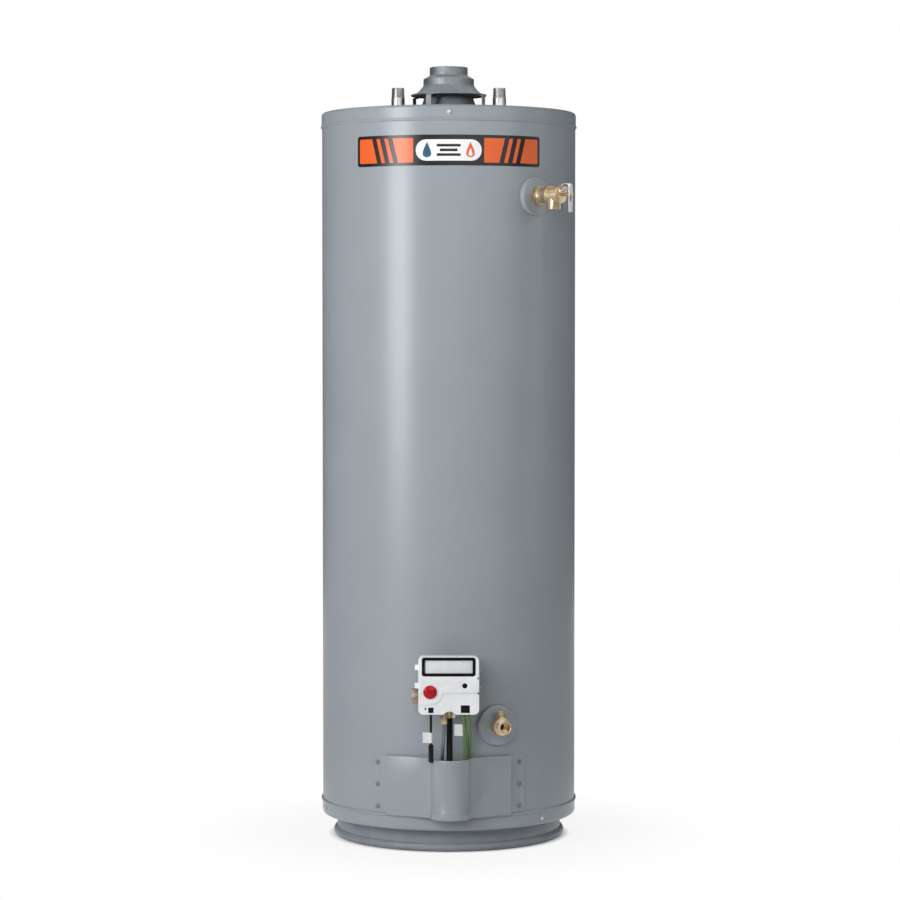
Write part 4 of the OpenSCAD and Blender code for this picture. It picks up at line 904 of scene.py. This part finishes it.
# %% tubes and leads
lead_r, sleeve_r, braid_r, pilot_r = 2.25, 4.75, 3.5, 3.2
show("igniter_lead_wire", merged(wire(igniter_top, lead_r), wire(igniter_foot, lead_r)), "igniter_lead",
     replaces=["igniter_lead"])
show("igniter_sleeve_tube", wire(igniter_sleeve, sleeve_r, 20, 3), "igniter_sleeve",
     replaces=["igniter_sleeve"])
green_pair = merged(wire(green_lead_left, braid_r, 20, 3), wire(green_lead_right, braid_r, 20, 3))
show("thermopile_lead_wires", green_pair, "thermopile_leads", replaces=["thermopile_leads"])
show("pilot_gas_tube", wire(pilot_route, pilot_r, 20, 4), "pilot_tube", replaces=["pilot_tube"])
print("lead, sleeve, braid and pilot tube are", lead_r, sleeve_r, braid_r, pilot_r, "mm in radius")

# %% [markdown]
# The paper tags are folded round a lead and pressed together: a small loop, then two leaves that
# touch. The outline is drawn from above and pushed up along the lead, since a fold this small needs
# no cloth simulation.

# %% lead tags
def folded_tag(loop, leaf, height):
    """A tag with its loop at the origin and its leaves towards -x."""
    front = [Vector((-leaf, -0.2)), Vector((-loop - 3.5, -0.25)), Vector((-loop - 0.8, -0.9))]
    back = [Vector((-loop - 0.8, 0.9)), Vector((-loop - 3.5, 0.25)), Vector((-leaf, 0.2))]
    fold = sheet_outline(front + arc(0, 0, loop, 208, 512, 18) + back, 0.25)
    return extruded(fold, -height / 2, height / 2)


tags = [moved(folded_tag(2.7, 15.8, 20.6), Matrix.Translation((-34, -317.8, 236))
              @ Matrix.Rotation(math.radians(9.5), 4, "X")),
        moved(folded_tag(0.7, 15.6, 25), Matrix.Translation((26.4, -320.6, 251))
              @ Matrix.Rotation(math.radians(21), 4, "X"))]
show("folded_lead_tags", merged(*tags), "lead_tags", replaces=["lead_tags"])
print(len(tags), "tags")

# %% [markdown]
# ## Small trim
# Screws, grommets, the flue collar and the outer door keep their CAD shape. Their real edges are
# rolled, pressed or moulded a quarter to half a millimetre round, and that thin line of light is all
# that the CAD shapes lack, so they are eased as the valves are.

# %% trim
trim_edges = (
    ("pan_screws", "pan_screw_heads", 0.35), ("door_screws", "door_screw_heads", 0.35),
    ("pipe_grommets", "grommet_mouldings", 0.5), ("flue_collar", "flue_collar_pressing", 0.25),
    ("outer_door", "outer_door_pressing", 0.35),
)
for node, name, width in trim_edges:
    softened(node, name, width)
print(len(shown), "finer pieces so far")

# %% [markdown]
# ## Springs
# The relief spring and the button's spring are pressed together between a fixed seat and the part
# that moves. Each coil here is a stiff, smooth-shaded copy of its CAD node that stays where it is;
# the part that moves would cut it.

# %% springs
spring_ends = (  # node, name of the finer piece, joint, body that presses it
    ("tp_spring", "relief_spring_coil", "relief_stem_pull", "relief_stem"),
    ("igniter_spring", "button_spring_coil", "igniter_button_press", "igniter_button"),
)
for node, name, joint, mover in spring_ends:
    mesh = frame["nodes"][node].data.copy()
    mesh.shade_smooth()
    coil = bpy.data.objects.new(name, mesh)
    scene.collection.objects.link(coil)
    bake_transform(coil)
    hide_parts(node)

# %% [markdown]
# ## Light
# A tall softbox at the left front draws the stripe of light down the jacket and is the main light, so
# shadows fall to the right. Two fills, nearly in front and at the right, hang higher than the heater
# and give the plain level of light. Polished metal would show them as two hard spots, so reflections
# see a broad dim card in their place and a small one at the right. A lamp behind keeps the back
# readable. The world is white where the eye or a reflection meets it, and a dark grey where it only
# lights things, so the pale background doesn't flood the object.

# %% lamps
def softbox(name, azimuth, distance, height, width, tall, watts):
    """An area lamp that looks at the heater's axis; azimuth is from the front towards +x."""
    lamp = bpy.data.lights.new(name, "AREA")
    lamp.shape = "RECTANGLE"
    lamp.size, lamp.size_y, lamp.energy = width, tall, watts
    box = bpy.data.objects.new(name, lamp)
    a = math.radians(azimuth)
    box.location = (distance * math.sin(a), -distance * math.cos(a), height)
    box.rotation_euler = (math.pi / 2, 0, a)
    scene.collection.objects.link(box)
    return box


# name, azimuth, distance, height, width, how tall, watts
softbox("key_softbox", -43, 3.0, 1.61, 0.95, 1.98, 65)
softbox("front_fill", -11, 4.5, 2.6, 1.4, 1.6, 44).visible_glossy = False
softbox("right_fill", 60, 4.5, 2.6, 1.8, 2.0, 46).visible_glossy = False
softbox("mirror_card", 24, 4.5, 2.9, 6.0, 3.0, 105).visible_diffuse = False
softbox("right_card", 84, 3.0, 1.5, 1.2, 2.2, 8)
softbox("back_fill", 185, 4.5, 1.7, 5.0, 3.0, 125).visible_glossy = False
print("six lamps")

# %% [markdown]
# Black plastic and polished metal need something darker than white to mirror, or they turn grey and
# flat. A round studio wall of matt grey cloth stands about the heater. Only reflections see it: the
# eye still gets the white background, and the light passes.

# %% dark studio wall
wall_radius, wall_height = 7, 6
wall_bm = bmesh.new()
bmesh.ops.create_cone(wall_bm, segments=64, radius1=wall_radius, radius2=wall_radius, depth=wall_height)
wall_mesh = bpy.data.meshes.new("dark_wall")
wall_bm.to_mesh(wall_mesh)
wall_bm.free()
wall = bpy.data.objects.new("dark_wall", wall_mesh)
wall.location.z = wall_height / 2
scene.collection.objects.link(wall)
dark_cloth = finish_of("dark_studio_cloth", "737476", Roughness=0.9)
mottle(dark_cloth, 800, 2, "6c6d6f", "7a7b7d")
wall_mesh.materials.append(dark_cloth)
wall.visible_camera = wall.visible_diffuse = wall.visible_shadow = wall.visible_transmission = False
print("wall radius", wall_radius, "m")

# %% world
world = bpy.data.worlds.new("studio")
world.use_nodes = True
scene.world = world
tree = world.node_tree
tree.nodes.clear()
rays = add_node(tree, "ShaderNodeLightPath")
seen = add_node(tree, "ShaderNodeMath", {0: rays.outputs["Is Camera Ray"],
                                         1: rays.outputs["Is Glossy Ray"]}, operation="MAXIMUM")
seen = add_node(tree, "ShaderNodeMath", {0: seen.outputs[0], 1: rays.outputs["Is Transmission Ray"]},
                operation="MAXIMUM")
lighting = add_node(tree, "ShaderNodeBackground", {"Color": (0.1, 0.1, 0.1, 1), "Strength": 1.0})
backdrop = add_node(tree, "ShaderNodeBackground", {"Color": (1, 1, 1, 1), "Strength": 1.0})
mix = add_node(tree, "ShaderNodeMixShader", {0: seen.outputs[0], 1: lighting.outputs[0],
                                             2: backdrop.outputs[0]})
add_node(tree, "ShaderNodeOutputWorld", {"Surface": mix.outputs[0]})
print("world: white to the eye, grey as a lamp")

# %% [markdown]
# ## Floor
# The floor is pale and matt. Close to the heater part of what the eye gets is the lit floor, which
# keeps a faint contact shadow; further out it fades into the white of the background. Under the
# heater it is only the lit floor, so the ring's air slots look dark.

# %% floor
floor_radius = 9
floor_mesh = bpy.data.meshes.new("floor")
floor_bm = bmesh.new()
bmesh.ops.create_circle(floor_bm, cap_ends=True, segments=64, radius=floor_radius)
floor_bm.to_mesh(floor_mesh)
floor_bm.free()
floor = bpy.data.objects.new("floor", floor_mesh)
floor.location.z = -0.0005  # half a millimetre under the base ring
scene.collection.objects.link(floor)
pale_floor = finish_of("pale_studio_floor", "eeeeee", Roughness=0.9, Specular_IOR_Level=0.1)
floor_mesh.materials.append(pale_floor)
print("floor radius", floor_radius, "m")

# %% how white the floor looks at each distance from the heater's axis, in metres
tree = pale_floor.node_tree
rays = add_node(tree, "ShaderNodeLightPath")
# the eye: nearly white from the ring outwards and quite white from 0.6 m, but not under the ring
away = add_node(tree, "ShaderNodeVectorMath", {0: object_space(tree)}, operation="LENGTH").outputs["Value"]
fade = add_node(tree, "ShaderNodeMapRange", {"Value": away, "From Min": 0.26, "From Max": 0.6,
                                             "To Min": 0.88, "To Max": 1.0}, interpolation_type="SMOOTHSTEP")
under = add_node(tree, "ShaderNodeMapRange", {"Value": away, "From Min": 0.225, "From Max": 0.245})
share = add_node(tree, "ShaderNodeMath", {0: fade.outputs["Result"], 1: under.outputs["Result"]},
                 operation="MULTIPLY")
# a reflection: white near the heater, and the lit floor farther off
near = add_node(tree, "ShaderNodeMapRange", {"Value": away, "From Min": 0.35, "From Max": 1.0,
                                             "To Min": 1.0, "To Max": 0.0}, interpolation_type="SMOOTHSTEP")
mirrored = add_node(tree, "ShaderNodeMath", {0: rays.outputs["Is Glossy Ray"], 1: near.outputs["Result"]},
                    operation="MULTIPLY")
seen = add_node(tree, "ShaderNodeMath", {0: rays.outputs["Is Camera Ray"], 1: mirrored.outputs[0]},
                operation="MAXIMUM")
seen = add_node(tree, "ShaderNodeMath", {0: seen.outputs[0], 1: rays.outputs["Is Transmission Ray"]},
                operation="MAXIMUM")
share = add_node(tree, "ShaderNodeMath", {0: share.outputs[0], 1: seen.outputs[0]}, operation="MULTIPLY")
white = add_node(tree, "ShaderNodeEmission", {"Color": (1, 1, 1, 1), "Strength": 1.0})
lit = tree.nodes["Principled BSDF"]
mix = add_node(tree, "ShaderNodeMixShader", {0: share.outputs[0], 1: lit.outputs[0], 2: white.outputs[0]})
tree.links.new(mix.outputs[0], tree.nodes["Material Output"].inputs["Surface"])
print("white beyond 0.6 m, a faint shadow nearer")

# %% [markdown]
# ## Finish
# Standard view transform shows colours as they are written.

# %% finish
scene.view_settings.view_transform = "Standard"
